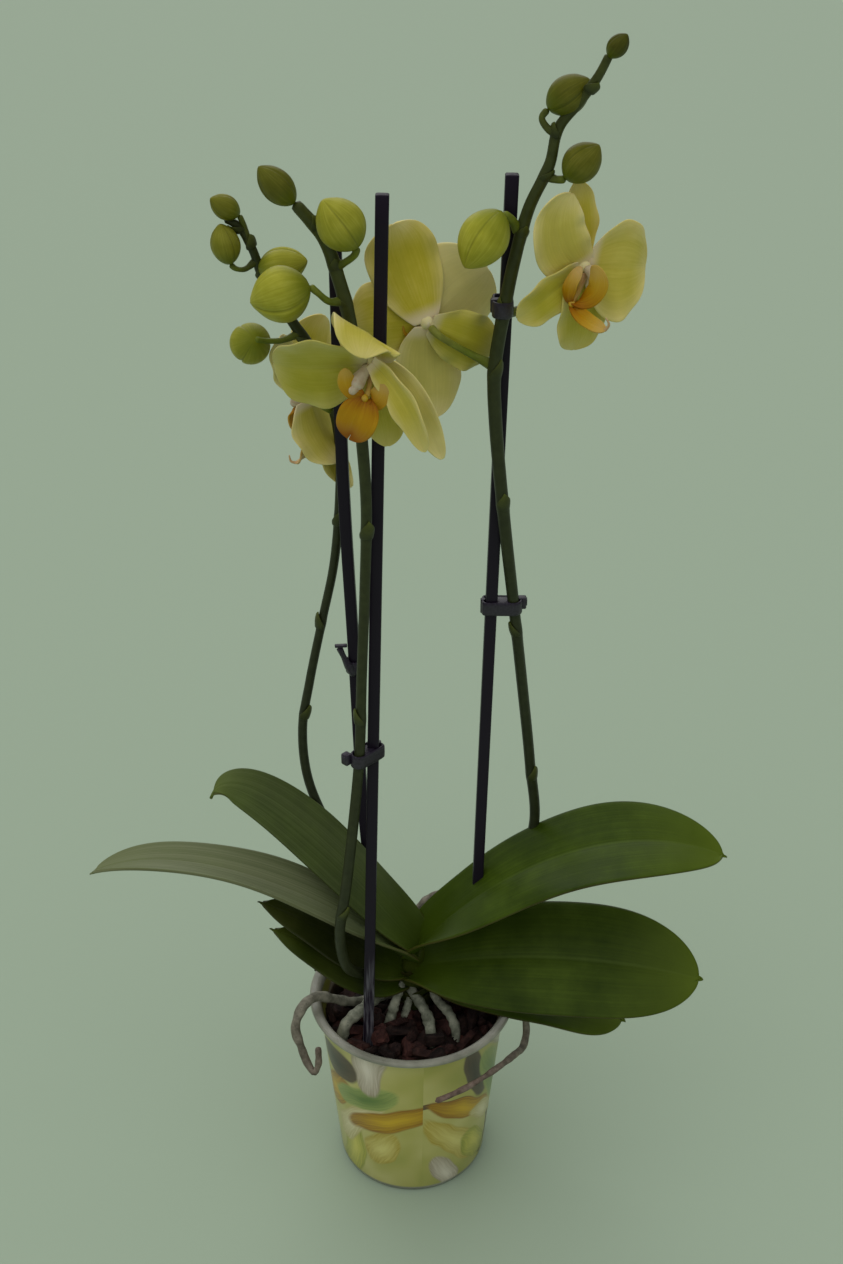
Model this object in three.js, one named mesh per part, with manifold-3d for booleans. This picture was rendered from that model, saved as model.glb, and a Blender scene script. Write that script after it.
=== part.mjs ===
// Potted moth orchid: three flower spikes tied to three stakes, seven leaves, thin plastic pot.
// Millimetres, +Z up, the origin is the centre of the pot's base on the table.
import * as THREE from 'three';
import { mergeVertices } from 'three/addons/utils/BufferGeometryUtils.js';
import Module from 'manifold-3d';

const wasm = await Module();
wasm.setup();

// Driving dimensions
const GAP = 0.35;
const POT_HEIGHT = 118;
const POT_FOOT_RADIUS = 44;
const POT_TOP_RADIUS = 54.3;
const POT_WALL = 1.2;
const RIM_RADIUS = 60;
const RIM_LIP = 4;
const BARK_LEVEL = 103;
const BARK_CHIPS = 24;
const STAKE_SIDE = 5.6;
const CLIP_HEIGHT = 7;

const group = new THREE.Group();

function vec(p) {
  return new THREE.Vector3(p[0], p[1], p[2]);
}

function toSolid(geometry) {
  const bare = geometry.clone();
  bare.deleteAttribute('normal');
  bare.deleteAttribute('uv');
  const merged = mergeVertices(bare, 1e-4);
  return new wasm.Manifold(new wasm.Mesh({
    numProp: 3,
    vertProperties: new Float32Array(merged.attributes.position.array),
    triVerts: new Uint32Array(merged.index.array),
  }));
}

// Cutting can leave crumbs or closed voids: the body is the largest piece
function largest(solid) {
  const pieces = solid.decompose();
  return pieces.reduce((best, piece) => (piece.volume() > best.volume() ? piece : best));
}

function addMesh(name, solid, color, roughness, metalness = 0) {
  const mesh = largest(solid).getMesh();
  const geometry = new THREE.BufferGeometry();
  geometry.setAttribute('position', new THREE.BufferAttribute(mesh.vertProperties, 3));
  geometry.setIndex(new THREE.BufferAttribute(mesh.triVerts, 1));
  geometry.computeVertexNormals();
  const node = new THREE.Mesh(geometry, new THREE.MeshStandardMaterial({ color, roughness, metalness }));
  node.name = name;
  group.add(node);
}

function joined(solids) {
  return solids.reduce((sum, solid) => sum.add(solid));
}

// A round stem: a closed cylinder bent along a curve, its radius read along the list of radii.
// grow makes it larger all round, as the room that a neighbour leaves for it.
function stem(points, radii, sides, segments, grow = 0, spin = 0) {
  const curve = new THREE.CatmullRomCurve3(points.map(vec), false, 'centripetal');
  const frames = curve.computeFrenetFrames(segments);
  const geometry = new THREE.CylinderGeometry(1, 1, 1, sides, segments);
  geometry.rotateY(spin);
  const place = geometry.attributes.position;
  for (let i = 0; i < place.count; i += 1) {
    const t = 0.5 - place.getY(i);
    const row = Math.round(t * segments);
    const at = t * (radii.length - 1);
    const low = Math.min(Math.floor(at), radii.length - 2);
    const radius = radii[low] + (radii[low + 1] - radii[low]) * (at - low) + grow;
    const p = curve.getPointAt(t);
    if (row === 0) p.addScaledVector(frames.tangents[row], -grow);
    if (row === segments) p.addScaledVector(frames.tangents[row], grow);
    p.addScaledVector(frames.normals[row], place.getX(i) * radius);
    p.addScaledVector(frames.binormals[row], place.getZ(i) * radius);
    place.setXYZ(i, p.x, p.y, p.z);
  }
  return toSolid(geometry);
}

function ball(p, radius, sides = 6) {
  const geometry = new THREE.SphereGeometry(radius, sides, Math.max(4, sides / 2));
  geometry.translate(p[0], p[1], p[2]);
  return toSolid(geometry);
}

// A thin closed blade over a surface of two parameters, split alike on both faces
function shell(surface, thickness, nu, nv) {
  const plane = new THREE.PlaneGeometry(1, 1, nu, nv);
  const uv = plane.attributes.uv;
  const count = uv.count;
  const places = new Float32Array(count * 6);
  const step = 0.01;
  for (let i = 0; i < count; i += 1) {
    const u = uv.getX(i);
    const v = uv.getY(i);
    const p = surface(u, v);
    const du = surface(Math.min(1, u + step), v).sub(surface(Math.max(0, u - step), v));
    const dv = surface(u, Math.min(1, v + step)).sub(surface(u, Math.max(0, v - step)));
    const normal = du.cross(dv).normalize();
    const half = thickness(u, v) / 2;
    for (let k = 0; k < 3; k += 1) {
      const c = p.getComponent(k);
      places[i * 3 + k] = c + normal.getComponent(k) * half;
      places[(count + i) * 3 + k] = c - normal.getComponent(k) * half;
    }
  }
  const faces = Array.from(plane.index.array);
  const index = faces.slice();
  for (let i = 0; i < faces.length; i += 3) {
    index.push(count + faces[i], count + faces[i + 2], count + faces[i + 1]);
  }
  const rim = [];
  for (let i = 0; i < nu; i += 1) rim.push(i);
  for (let j = 0; j < nv; j += 1) rim.push(nu + j * (nu + 1));
  for (let i = 0; i < nu; i += 1) rim.push((nv + 1) * (nu + 1) - 1 - i);
  for (let j = 0; j < nv; j += 1) rim.push((nv - j) * (nu + 1));
  for (let i = 0; i < rim.length; i += 1) {
    const a = rim[i];
    const b = rim[(i + 1) % rim.length];
    index.push(a, b, count + a);
    index.push(b, count + b, count + a);
  }
  const geometry = new THREE.BufferGeometry();
  geometry.setAttribute('position', new THREE.BufferAttribute(places, 3));
  geometry.setIndex(index);
  return toSolid(geometry);
}

// A leaf or petal: half width along a bezier midrib, folded, cupped and waved at its edges
function blade(leaf, nu, nv) {
  const curve = new THREE.CubicBezierCurve3(...leaf.rib.map(vec));
  const across = vec(leaf.across);
  const surface = (k, v) => {
    const u = 1 - (1 - k) ** 1.5;
    const s = v * 2 - 1;
    const tangent = curve.getTangent(u);
    const side = across.clone().addScaledVector(tangent, -across.dot(tangent)).normalize();
    side.applyAxisAngle(tangent, (leaf.twist || 0) * u * Math.PI / 180);
    const up = tangent.clone().cross(side);
    const rise = u < leaf.wide
      ? leaf.neck + (1 - leaf.neck) * (1 - ((leaf.wide - u) / leaf.wide) ** 2.2)
      : Math.sqrt(Math.max(0, 1 - ((u - leaf.wide) / (1 - leaf.wide)) ** leaf.blunt));
    const half = leaf.half * Math.max(rise, leaf.tip);
    const wave = (leaf.wave || 0) * Math.sin(u * (leaf.waves || 3) * 6.283 + s * 1.5) * s * s;
    const lift = leaf.fold * Math.abs(s) * half + leaf.cup * s * s * half + wave;
    const reach = Math.sqrt(Math.max(0.1, 1 - (leaf.fold + leaf.cup * Math.abs(s)) ** 2 * 0.6));
    return curve.getPoint(u).addScaledVector(side, s * half * reach).addScaledVector(up, lift);
  };
  const thick = (k, v) => leaf.edge + (leaf.thick - leaf.edge) * (1 - Math.abs(v * 2 - 1));
  return shell(surface, thick, nu, nv);
}

// Pot: a thin tapered cup with a flanged rim, a rounded foot and drain holes
const innerFoot = POT_FOOT_RADIUS - POT_WALL;
const innerTop = POT_TOP_RADIUS - POT_WALL;
const potProfile = [
  [0, 0],
  [POT_FOOT_RADIUS - 2, 0],
  [POT_FOOT_RADIUS, 2.5],
  [POT_TOP_RADIUS, POT_HEIGHT - 5.5],
  [RIM_RADIUS, POT_HEIGHT - RIM_LIP],
  [RIM_RADIUS, POT_HEIGHT - 1],
  [RIM_RADIUS - 1, POT_HEIGHT],
  [innerTop + 1, POT_HEIGHT - 1.2],
  [innerTop, POT_HEIGHT - 4],
  [innerFoot, 3],
  [innerFoot - 1.5, POT_WALL + 0.3],
  [0, POT_WALL + 0.3],
];
const lathe = new THREE.LatheGeometry(potProfile.map((p) => new THREE.Vector2(p[0], p[1])), 32);
lathe.rotateX(Math.PI / 2);
let pot = toSolid(lathe);
for (let i = 0; i < 6; i += 1) {
  const drain = new THREE.CylinderGeometry(3.5, 3.5, 12, 6);
  drain.rotateX(Math.PI / 2);
  drain.translate(30 * Math.cos(i * Math.PI / 3), 30 * Math.sin(i * Math.PI / 3), 0);
  pot = pot.subtract(toSolid(drain));
}
addMesh('pot', pot, 0xc9cda2, 0.35);

// Stakes: three square plastic rods pushed to the bottom of the bark, the back one bowed
const stakes = {
  stake_front: [[-26, -23, 8], [-10.6, -17, 583.5]],
  stake_right: [[33.7, 16, 8], [43.8, 0, 588]],
  stake_back: [[-10, 34, 8], [-21.5, 31, 140], [-27, 24, 230], [-30, 16, 347], [-32.5, 8, 446], [-32.5, -4, 563]],
};
function stake(path, grow) {
  const corner = STAKE_SIDE * Math.SQRT1_2;
  return stem(path, [corner, corner], 4, path.length > 2 ? 8 : 1, grow, Math.PI / 4);
}
for (const [name, path] of Object.entries(stakes)) addMesh(name, stake(path, 0), 0x2a2d30, 0.45);
const stakeRoom = joined(Object.values(stakes).map((path) => stake(path, GAP * 1.5)));

// Crown: the short stem that carries leaves, roots and spikes
const CROWN = [[1, 14, 96], [1, 13, 112], [2, 10, 130], [4, 7, 146], [5, 5, 156]];
const crownRadii = [9, 10, 11.5, 10, 5];
const crown = stem(CROWN, crownRadii, 10, 6);
const crownRoom = stem(CROWN, crownRadii, 10, 6, GAP);
addMesh('crown', crown, 0x66722c, 0.6);

// Spikes: jointed stems with bracts, and a short stalk to every bud and flower
const spikes = {
  spike_right: {
    path: [[8, 12, 142], [34, 20, 158], [58, 23, 182], [69, 22, 222], [65, 19, 268], [58.5, 13, 323],
      [52.5, 6, 371], [45, -3, 430], [40, -5, 477], [39, -5.5, 501], [42.5, -6, 529], [46.5, -6, 552],
      [52, -7, 575], [60, -9, 594], [63, -10, 609], [71, -13, 620], [78, -16, 631], [82, -18, 640]],
    radii: [3.2, 3.1, 3, 2.9, 2.9, 2.9, 2.9, 3, 3.1, 3, 2.7, 2.4, 2, 1.6],
    bracts: [[65.5, 19, 259], [54, 8, 357], [44.5, -3, 433], [77, -15, 629]],
    stalks: [
      { path: [[39, -5, 503], [30, 0, 506], [20, -1, 512], [12.5, -4, 518], [9.4, -0.8, 520.6]], radii: [2.2, 1.6, 1.5, 2] },
      { path: [[44, -6, 535], [54, 2, 537], [65, 6, 542], [75, -1, 549]], radii: [2.2, 1.6, 1.5, 2] },
      { path: [[48, -5, 564], [45, -9, 569], [41.5, -12, 572.5]], radii: [2, 1.7, 1.9] },
      { path: [[59, -8, 589], [63, -10, 588], [67, -12, 588.5]], radii: [1.8, 1.4, 1.6] },
      { path: [[62.5, -10, 607], [58.5, -10, 609], [56, -9, 613], [58.5, -8, 616.5]], radii: [1.6, 1.2, 1.1, 1.4] },
    ],
  },
  spike_middle: {
    path: [[-4, 6, 132], [-18, -12, 140], [-31, -22, 153], [-38.5, -27, 170], [-39, -30, 190], [-35, -31, 219],
      [-30, -30, 262], [-26, -27.5, 304], [-24, -28, 349], [-21.5, -28, 400], [-20, -28, 445], [-22, -27, 485],
      [-25, -26, 527], [-30, -26.5, 550], [-35, -28, 567], [-43, -30, 580.5]],
    radii: [3, 3, 3, 2.9, 2.8, 2.7, 2.6, 2.6, 2.7, 2.9, 2.8, 2.2],
    bracts: [[-37.2, -31, 203], [-24.8, -28, 325], [-20.4, -28, 430]],
    stalks: [
      { path: [[-22.5, -26, 495], [-18, -24, 503], [-13.5, -27, 510], [-13, -33, 514]], radii: [2, 1.6, 1.5, 2] },
      { path: [[-31, -26.5, 555], [-26, -30, 558.5], [-22.5, -32.5, 562], [-21.5, -34, 565.5]], radii: [1.9, 1.5, 1.4, 1.7] },
      { path: [[-28, -26, 540], [-34, -30, 541], [-39, -33, 546], [-42, -34, 549]], radii: [1.9, 1.4, 1.3, 1.6] },
    ],
  },
  spike_left: {
    path: [[-2, 16, 138], [-18, 22, 164], [-36, 23, 198], [-49, 22, 227], [-57.5, 22, 256], [-59, 22, 288],
      [-54, 22, 318], [-46, 21, 356], [-39, 19, 389], [-35, 17.5, 425], [-34, 16, 455], [-37, 13, 480],
      [-43, 9, 502], [-52, 6, 518], [-60, 4, 532], [-66, 2, 544], [-69.5, 0, 556], [-75, -1, 566], [-81, -2, 569.5]],
    radii: [2.9, 2.9, 2.8, 2.7, 2.6, 2.5, 2.4, 2.3, 2.3, 2.3, 2.3, 2.2, 2, 1.8, 1.4],
    bracts: [[-58.5, 22, 297], [-46.5, 21, 354], [-36, 18, 414]],
    stalks: [
      { path: [[-36, 14, 474], [-40, 10, 477], [-44, 11, 480], [-46, 13, 481]], radii: [2, 1.6, 1.5, 2] },
      { path: [[-50, 6.5, 515], [-58, 2, 513], [-65, -2, 514], [-70, -6, 516]], radii: [1.8, 1.3, 1.2, 1.5] },
      { path: [[-66, 2, 544], [-67, 1, 546]], radii: [2, 1.7] },
      { path: [[-68, 1, 550], [-73, -2, 547], [-77, -4, 548], [-79, -4, 550]], radii: [1.6, 1.1, 1, 1.3] },
      { path: [[-71, -0.5, 558], [-72, -1, 565], [-74, -2, 571]], radii: [1.4, 1, 1.2] },
    ],
  },
};
const SPIKE_COLOR = 0x4c5a2a;
function spikeSolid(spec, grow) {
  const parts = [stem(spec.path, spec.radii, 6, Math.round(spec.path.length * 1.5), grow)];
  for (const p of spec.bracts) parts.push(stem([p, [p[0], p[1], p[2] + 7]], [3.7, 2.6], 5, 1, grow));
  for (const stalk of spec.stalks) {
    parts.push(stem(stalk.path, stalk.radii, 5, stalk.path.length, grow));
  }
  return joined(parts);
}
const spikeRoom = [];
for (const [name, spec] of Object.entries(spikes)) {
  addMesh(name, spikeSolid(spec, 0).subtract(crownRoom).subtract(stakeRoom), SPIKE_COLOR, 0.55);
  spikeRoom.push(spikeSolid(spec, GAP));
}
const stemRoom = joined(spikeRoom);

// Leaves: thick strap leaves, folded along the midrib, their bases clasping the crown
const leaves = {
  leaf_right_under: {
    rib: [[11, 12, 118], [45, 4, 132], [85, -4, 128], [122, -12, 108]],
    across: [0.05, 0.98, 0.2], half: 26, fold: 0.1, cup: -0.1, neck: 0.3, wide: 0.6, blunt: 2.4, tip: 0.06,
  },
  leaf_left_low: {
    rib: [[-7, 6, 118], [-30, -8, 140], [-52, -14, 164], [-76, -18, 180]],
    across: [0.2, 0.9, 0.35], half: 21, fold: 0.15, cup: 0, neck: 0.45, wide: 0.5, blunt: 3, tip: 0.3,
  },
  leaf_left_mid: {
    rib: [[-8, 3, 132], [-32, -8, 160], [-58, -12, 184], [-82, -14, 196]],
    across: [0.1, 0.95, 0.3], half: 21, fold: 0.1, cup: 0, neck: 0.45, wide: 0.5, blunt: 2.4, tip: 0.1,
  },
  leaf_right_lower: {
    rib: [[11, 2, 136], [50, -14, 160], [105, -24, 168], [160, -28, 154]],
    across: [0.05, 0.84, 0.55], half: 33, fold: 0.12, cup: -0.08, neck: 0.3, wide: 0.58, blunt: 2.4, tip: 0.06,
  },
  leaf_left_long: {
    rib: [[-7, 4, 142], [-50, -12, 200], [-122, -22, 248], [-170, -24, 224]],
    across: [0.1, 0.99, -0.05], half: 20, fold: -0.3, cup: 0, neck: 0.45, wide: 0.35, blunt: 1.7, tip: 0.05,
  },
  leaf_right_upper: {
    rib: [[10, 6, 148], [52, -4, 216], [112, -8, 252], [169, -12, 228]],
    across: [0.1, 0.95, 0.28], half: 28, fold: 0.14, cup: -0.05, neck: 0.32, wide: 0.52, blunt: 2.2, tip: 0.05,
  },
  leaf_left_upper: {
    rib: [[-3, 6, 150], [-32, 2, 200], [-90, 6, 280], [-106, 0, 256]],
    across: [0.35, 0.75, 0.56], half: 22, fold: 0.35, cup: 0, neck: 0.4, wide: 0.42, blunt: 2.2, tip: 0.12,
  },
};
// Roots: grey green cords from the crown into the bark, and three that wander over the rim
const roots = {
  root_over_rim_left: {
    path: [[-4, 12, 108], [-22, 6, 107], [-36, 0, 110], [-46, -7, 119], [-55, -14, 127], [-62, -23, 128],
      [-66, -31, 120], [-63, -35, 109], [-59, -39, 99], [-55.5, -42, 96], [-53, -42.5, 102], [-52.5, -42.5, 116]],
    radii: [2.6, 2.7, 2.8, 2.8, 2.8, 2.8, 2.7, 2.5, 2.3, 1.8],
  },
  root_front_left: {
    path: [[-3, 9, 122], [-12, 5, 118], [-20, 0, 115], [-30, -12, 114], [-38, -18, 110], [-40, -21, 104], [-40, -22, 97]],
    radii: [2.8, 3.4, 3.6, 3.6, 3.5, 3.4, 3.2],
  },
  root_mid_left: {
    path: [[0, 4, 124], [-5, -1, 119], [-11, -7, 110], [-13, -11, 98]],
    radii: [2.4, 2.8, 3.1, 2.8],
  },
  root_mid: {
    path: [[0, 5, 119], [3, -2, 117], [7, -9, 113.5], [12, -17, 110], [14, -26, 104], [14.5, -29, 96]],
    radii: [2.6, 3, 3.2, 3.3, 3.2, 3],
  },
  root_mid_right: {
    path: [[6, 6, 120], [13, 3, 117], [17, -4, 113], [23, -10, 110], [26, -20, 105], [27, -26, 96]],
    radii: [2.2, 2.5, 2.7, 2.8, 2.8, 2.6],
  },
  root_over_rim_right: {
    path: [[7, 12, 112], [28, 10, 114], [46, 6, 120], [60, 4, 122], [66, 2, 116], [67, 1, 100], [68, -2, 88],
      [66, -10, 85], [59, -26, 93], [47, -45, 101], [34, -55, 100], [22, -60, 97], [13, -62, 94]],
    radii: [2.2, 2.3, 2.2, 2.2, 2.1, 2, 1.7],
  },
  root_back_aerial: {
    path: [[3, 14, 136], [2, 23, 148], [3, 27, 155], [8, 30, 163], [16, 33, 168], [24, 37, 173], [34, 41, 172]],
    radii: [2.6, 2.6, 2.5, 2.4, 2.2, 1.6],
  },
};
const rootRooms = [];
for (const [name, root] of Object.entries(roots)) {
  const cord = (grow) => stem(root.path, root.radii, 6, Math.round(root.path.length * 1.25), grow);
  addMesh(name, cord(0).subtract(crownRoom).subtract(stakeRoom), 0x9a9f86, 0.7);
  rootRooms.push(cord(GAP));
}

let taken = joined([crownRoom, stemRoom, stakeRoom, ...rootRooms]);
for (const [name, leaf] of Object.entries(leaves)) {
  const body = blade({ thick: 2.6, edge: 1.2, ...leaf }, 11, 4);
  addMesh(name, body.subtract(taken), 0x3f6418, 0.4);
  taken = taken.add(blade({ thick: 3.3, edge: 1.9, ...leaf, half: leaf.half + GAP }, 11, 4));
}

// Bark: a plug that fills the pot, heaped with seeded chips sunk into it
let seed = 71;
function draw() {
  seed = (seed * 16807) % 2147483647;
  return seed / 2147483647;
}
const plugRadius = (z) => innerFoot + (innerTop - innerFoot) * (z - 3) / (POT_HEIGHT - 7) - GAP;
const plugProfile = [[0, 4], [plugRadius(4) - 1, 4], [plugRadius(6), 6], [plugRadius(BARK_LEVEL - 4), BARK_LEVEL - 4], [0, BARK_LEVEL - 2]];
const plug = new THREE.LatheGeometry(plugProfile.map((p) => new THREE.Vector2(p[0], p[1])), 20);
plug.rotateX(Math.PI / 2);
let bark = toSolid(plug);
for (let i = 0; i < BARK_CHIPS; i += 1) {
  const angle = i * 2.39996;
  const radius = 42 * Math.sqrt((i + 0.5) / BARK_CHIPS);
  const chip = new THREE.BoxGeometry(12 + 7 * draw(), 8 + 5 * draw(), 6 + 3 * draw());
  chip.rotateX(0.9 * (draw() - 0.5));
  chip.rotateY(0.9 * (draw() - 0.5));
  chip.rotateZ(6.283 * draw());
  chip.translate(radius * Math.cos(angle), radius * Math.sin(angle), BARK_LEVEL - 2.5 + 3 * draw());
  bark = bark.add(toSolid(chip));
}
const barkRoom = new THREE.CylinderGeometry(plugRadius(112), plugRadius(2), 110, 40);
barkRoom.rotateX(Math.PI / 2);
barkRoom.translate(0, 0, 57);
bark = bark.intersect(toSolid(barkRoom)).subtract(crownRoom).subtract(stakeRoom).subtract(joined(rootRooms));
addMesh('bark', bark, 0x4a302a, 0.9);

// Buds: ridged eggs on the ends of their stalks
const buds = {
  bud_right_low: { base: [41.5, -12, 573], tip: [21.5, -17, 556], radius: 10.4 },
  bud_right_mid: { base: [67, -12, 588.5], tip: [80, -14, 603], radius: 7.6 },
  bud_right_high: { base: [58.5, -8, 616.5], tip: [75, -10, 628.5], radius: 7.6 },
  bud_right_tip: { base: [82, -18, 640], tip: [89, -21, 649], radius: 4.3 },
  bud_middle_near: { base: [-42, -34, 549], tip: [-67, -38, 543], radius: 11.8 },
  bud_middle_right: { base: [-21.5, -34, 565.5], tip: [-35, -38, 586], radius: 9.8 },
  bud_middle_tip: { base: [-43.6, -30.2, 580.5], tip: [-60, -34, 597], radius: 6.5 },
  bud_left_back: { base: [-67, 1, 546], tip: [-45, -3, 551], radius: 7.6 },
  bud_left_low: { base: [-70, -6, 516], tip: [-76, 12, 506], radius: 9.2 },
  bud_left_mid: { base: [-79, -4, 550], tip: [-82, -6, 568], radius: 6.4 },
  bud_left_high: { base: [-74, -2, 571], tip: [-85.5, -6, 579], radius: 4.9 },
};
const budRooms = [];
function budSolid(spec, grow) {
  const from = vec(spec.base);
  const axis = vec(spec.tip).sub(from);
  const length = axis.length();
  const egg = new THREE.SphereGeometry(1, 8, 6);
  const place = egg.attributes.position;
  for (let i = 0; i < place.count; i += 1) {
    const y = place.getY(i);
    const round = Math.atan2(place.getZ(i), place.getX(i));
    const ridge = 1 + 0.05 * Math.cos(3 * round) - 0.1 * y;
    const side = spec.radius * ridge + grow;
    place.setXYZ(i, place.getX(i) * side, y * (length / 2 + grow), place.getZ(i) * side);
  }
  egg.translate(0, length / 2, 0);
  egg.applyQuaternion(new THREE.Quaternion().setFromUnitVectors(new THREE.Vector3(0, 1, 0), axis.normalize()));
  egg.translate(from.x, from.y, from.z);
  return toSolid(egg);
}
for (const [name, spec] of Object.entries(buds)) {
  addMesh(name, budSolid(spec, 0).subtract(stemRoom).subtract(stakeRoom), 0x8f9a3c, 0.5);
  budRooms.push(budSolid(spec, GAP));
}

// Flowers: five broad petals in two layers, a lobed lip and a column
const SEPAL = -0.8;
const PETAL = 1.2;
const flowers = {
  flower_right: {
    centre: [77.7, -6, 549.6], facing: [0.45, -0.85, -0.1], roll: 0,
    petals: [
      { tip: [-5, -8, 37], half: 10, bow: 2, wide: 0.55, layer: SEPAL },
      { tip: [-23, -15, 22], half: 19, bow: 5, wide: 0.55, layer: PETAL },
      { tip: [28, 14, -2], half: 20, bow: 4, wide: 0.5, layer: PETAL },
      { tip: [-30, -14, -20], half: 11, bow: 2, wide: 0.6, layer: SEPAL },
      { tip: [4, 3, -40], half: 13, bow: 3, wide: 0.55, layer: SEPAL },
    ],
  },
  flower_back: {
    centre: [8.1, 3, 520.8], facing: [-0.3, 0.95, 0], roll: 0,
    petals: [
      { tip: [-10, 0, 46], half: 19, bow: 4, wide: 0.6, layer: SEPAL },
      { tip: [28, 14, 21], half: 23, bow: 5, wide: 0.55, layer: PETAL },
      { tip: [-35, -8, 0], half: 19, bow: 5, wide: 0.55, layer: PETAL },
      { tip: [31, 12, -18], half: 15, bow: 4, wide: 0.6, layer: SEPAL },
      { tip: [3, 4, -48], half: 17, bow: 4, wide: 0.55, layer: SEPAL },
    ],
  },
  flower_front: {
    centre: [-15.9, -37, 516], facing: [-0.6, -0.69, -0.41], roll: 0,
    petals: [
      { tip: [-14, -22, 22], half: 18, bow: -3, wide: 0.6, layer: SEPAL, twist: 35 },
      { tip: [-41, 4, 3], half: 21, bow: 5, wide: 0.5, layer: PETAL },
      { tip: [24, -8, -37], half: 13, bow: 1, wide: 0.55, layer: PETAL },
      { tip: [31, 2, -45], half: 13, bow: 1, wide: 0.55, layer: SEPAL },
      { tip: [-2, 16, -44], half: 12, bow: 3, wide: 0.6, layer: SEPAL },
    ],
  },
  flower_left: {
    centre: [-48.8, 14, 481], facing: [-0.75, 0.6, -0.2], roll: 0,
    petals: [
      { tip: [8, 16, 35], half: 14, bow: 4, wide: 0.55, layer: SEPAL },
      { tip: [-15, -10, 28], half: 15, bow: 5, wide: 0.5, layer: PETAL },
      { tip: [21, 26, 9], half: 18, bow: 4, wide: 0.55, layer: PETAL },
      { tip: [12, 4, -34], half: 15, bow: 4, wide: 0.55, layer: SEPAL },
      { tip: [20, 8, -50], half: 8, bow: 3, wide: 0.6, layer: SEPAL },
    ],
  },
};
for (const [name, spec] of Object.entries(flowers)) {
  const centre = vec(spec.centre);
  const front = vec(spec.facing).normalize();
  const top = new THREE.Vector3(0, 0, 1).addScaledVector(front, -front.z).normalize();
  top.applyAxisAngle(front, spec.roll * Math.PI / 180);
  const right = top.clone().cross(front);
  const at = (r, u, n) => {
    const p = centre.clone().addScaledVector(right, r).addScaledVector(top, u).addScaledVector(front, n);
    return [p.x, p.y, p.z];
  };
  const column = (grow) => stem(
    [at(0, 0, 1.6), at(0, 0, 4), at(0, 0.6, 7), at(0, 0.3, 10), at(0, -0.8, 13)],
    [1.2, 2.1, 2.3, 2.7, 3, 1.5], 7, 5, grow);
  const claw = (grow) => stem(
    [at(0, -4, 1.8), at(0, -5, 4.5), at(0, -6, 7.5)],
    [1, 1.6, 1.6, 1.5], 5, 3, grow);
  const lobe = (sign, grow) => blade({
    rib: [at(sign * 0.6, -6, 6), at(sign * 6, -9, 8), at(sign * 11, -4, 10), at(sign * 8.5, 4.5, 12)],
    across: [front.x, front.y, front.z],
    half: 6.2 + grow, fold: 0, cup: 0.2, neck: 0.4, wide: 0.6, blunt: 2.4, tip: 0.3,
    thick: 0.9 + 2 * grow, edge: 0.8 + 2 * grow,
  }, 3, 2);
  const tongue = (grow) => blade({
    rib: [at(0, -5.8, 5), at(0, -9, 12), at(0, -16, 18), at(0, -27, 16)],
    across: [right.x, right.y, right.z],
    half: 9 + grow, fold: 0.25, cup: 0, neck: 0.45, wide: 0.55, blunt: 1.6, tip: 0.2,
    thick: 1.2 + 2 * grow, edge: 0.8 + 2 * grow,
  }, 4, 2);
  const curl = (sign, grow) => stem(
    [at(sign * 1, -25.5, 16.3), at(sign * 2, -30, 16.5), at(sign * 4.2, -30.5, 20)],
    [0.8, 0.7, 0.5], 4, 2, grow);
  const lip = (grow) => joined([
    claw(grow), lobe(1, grow), lobe(-1, grow), tongue(grow), curl(1, grow), curl(-1, grow),
  ]);
  const petals = spec.petals.map((petal) => {
    const tip = vec(petal.tip);
    const run = tip.clone().normalize();
    const bowed = (k, n) => {
      const p = centre.clone().addScaledVector(tip, k).addScaledVector(front, n);
      return [p.x, p.y, p.z];
    };
    const across = front.clone().cross(run).normalize();
    return blade({
      rib: [bowed(0.06, petal.layer), bowed(0.36, petal.layer + petal.bow), bowed(0.72, petal.bow * 1.2), bowed(1, 0)],
      across: [across.x, across.y, across.z],
      half: petal.half, fold: 0.05, cup: 0.12, neck: 0.1, wide: petal.wide, blunt: 2.2, tip: 0.2,
      thick: 1.1, edge: 0.8, wave: 0.5, waves: 2, twist: petal.twist || 0,
    }, 6, petal.layer === PETAL ? 4 : 3);
  });
  const whorl = joined([ball(at(0, 0, 0), 3.6, 8), ...petals]);
  const room = joined([column(GAP), lip(GAP), ...budRooms]);
  addMesh(name + '_petals', whorl.subtract(room).subtract(stemRoom).subtract(stakeRoom), 0xb6b45c, 0.6);
  addMesh(name + '_lip', lip(0).subtract(column(GAP)).subtract(stakeRoom), 0xb87d24, 0.55);
  addMesh(name + '_column', column(0), 0xd8c9b4, 0.5);
}

// Clips: small moulded collars that tie a spike to its stake
const clips = {
  clip_right_low: { at: [46.5, 6, 370], length: 22, depth: 9, turn: 0 },
  clip_right_top: { at: [42.5, -2, 530], length: 10, depth: 16, turn: 0 },
  clip_middle: { at: [-22.5, -24.5, 303], length: 17, depth: 9, turn: 15 },
  clip_back: { at: [-29, 16.5, 334], length: 14, depth: 9, turn: 20 },
};
for (const [name, spec] of Object.entries(clips)) {
  const block = new THREE.BoxGeometry(spec.length, spec.depth, CLIP_HEIGHT);
  block.rotateZ(spec.turn * Math.PI / 180);
  block.translate(spec.at[0], spec.at[1], spec.at[2]);
  addMesh(name, toSolid(block).subtract(stakeRoom).subtract(stemRoom), 0x1f2123, 0.5);
}

export default group;
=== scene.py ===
import bpy
import random
from functools import partial
from math import atan2, copysign, cos, exp, hypot, pi, radians, sin, sqrt, tau
from mathutils import Matrix, Quaternion, Vector


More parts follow.
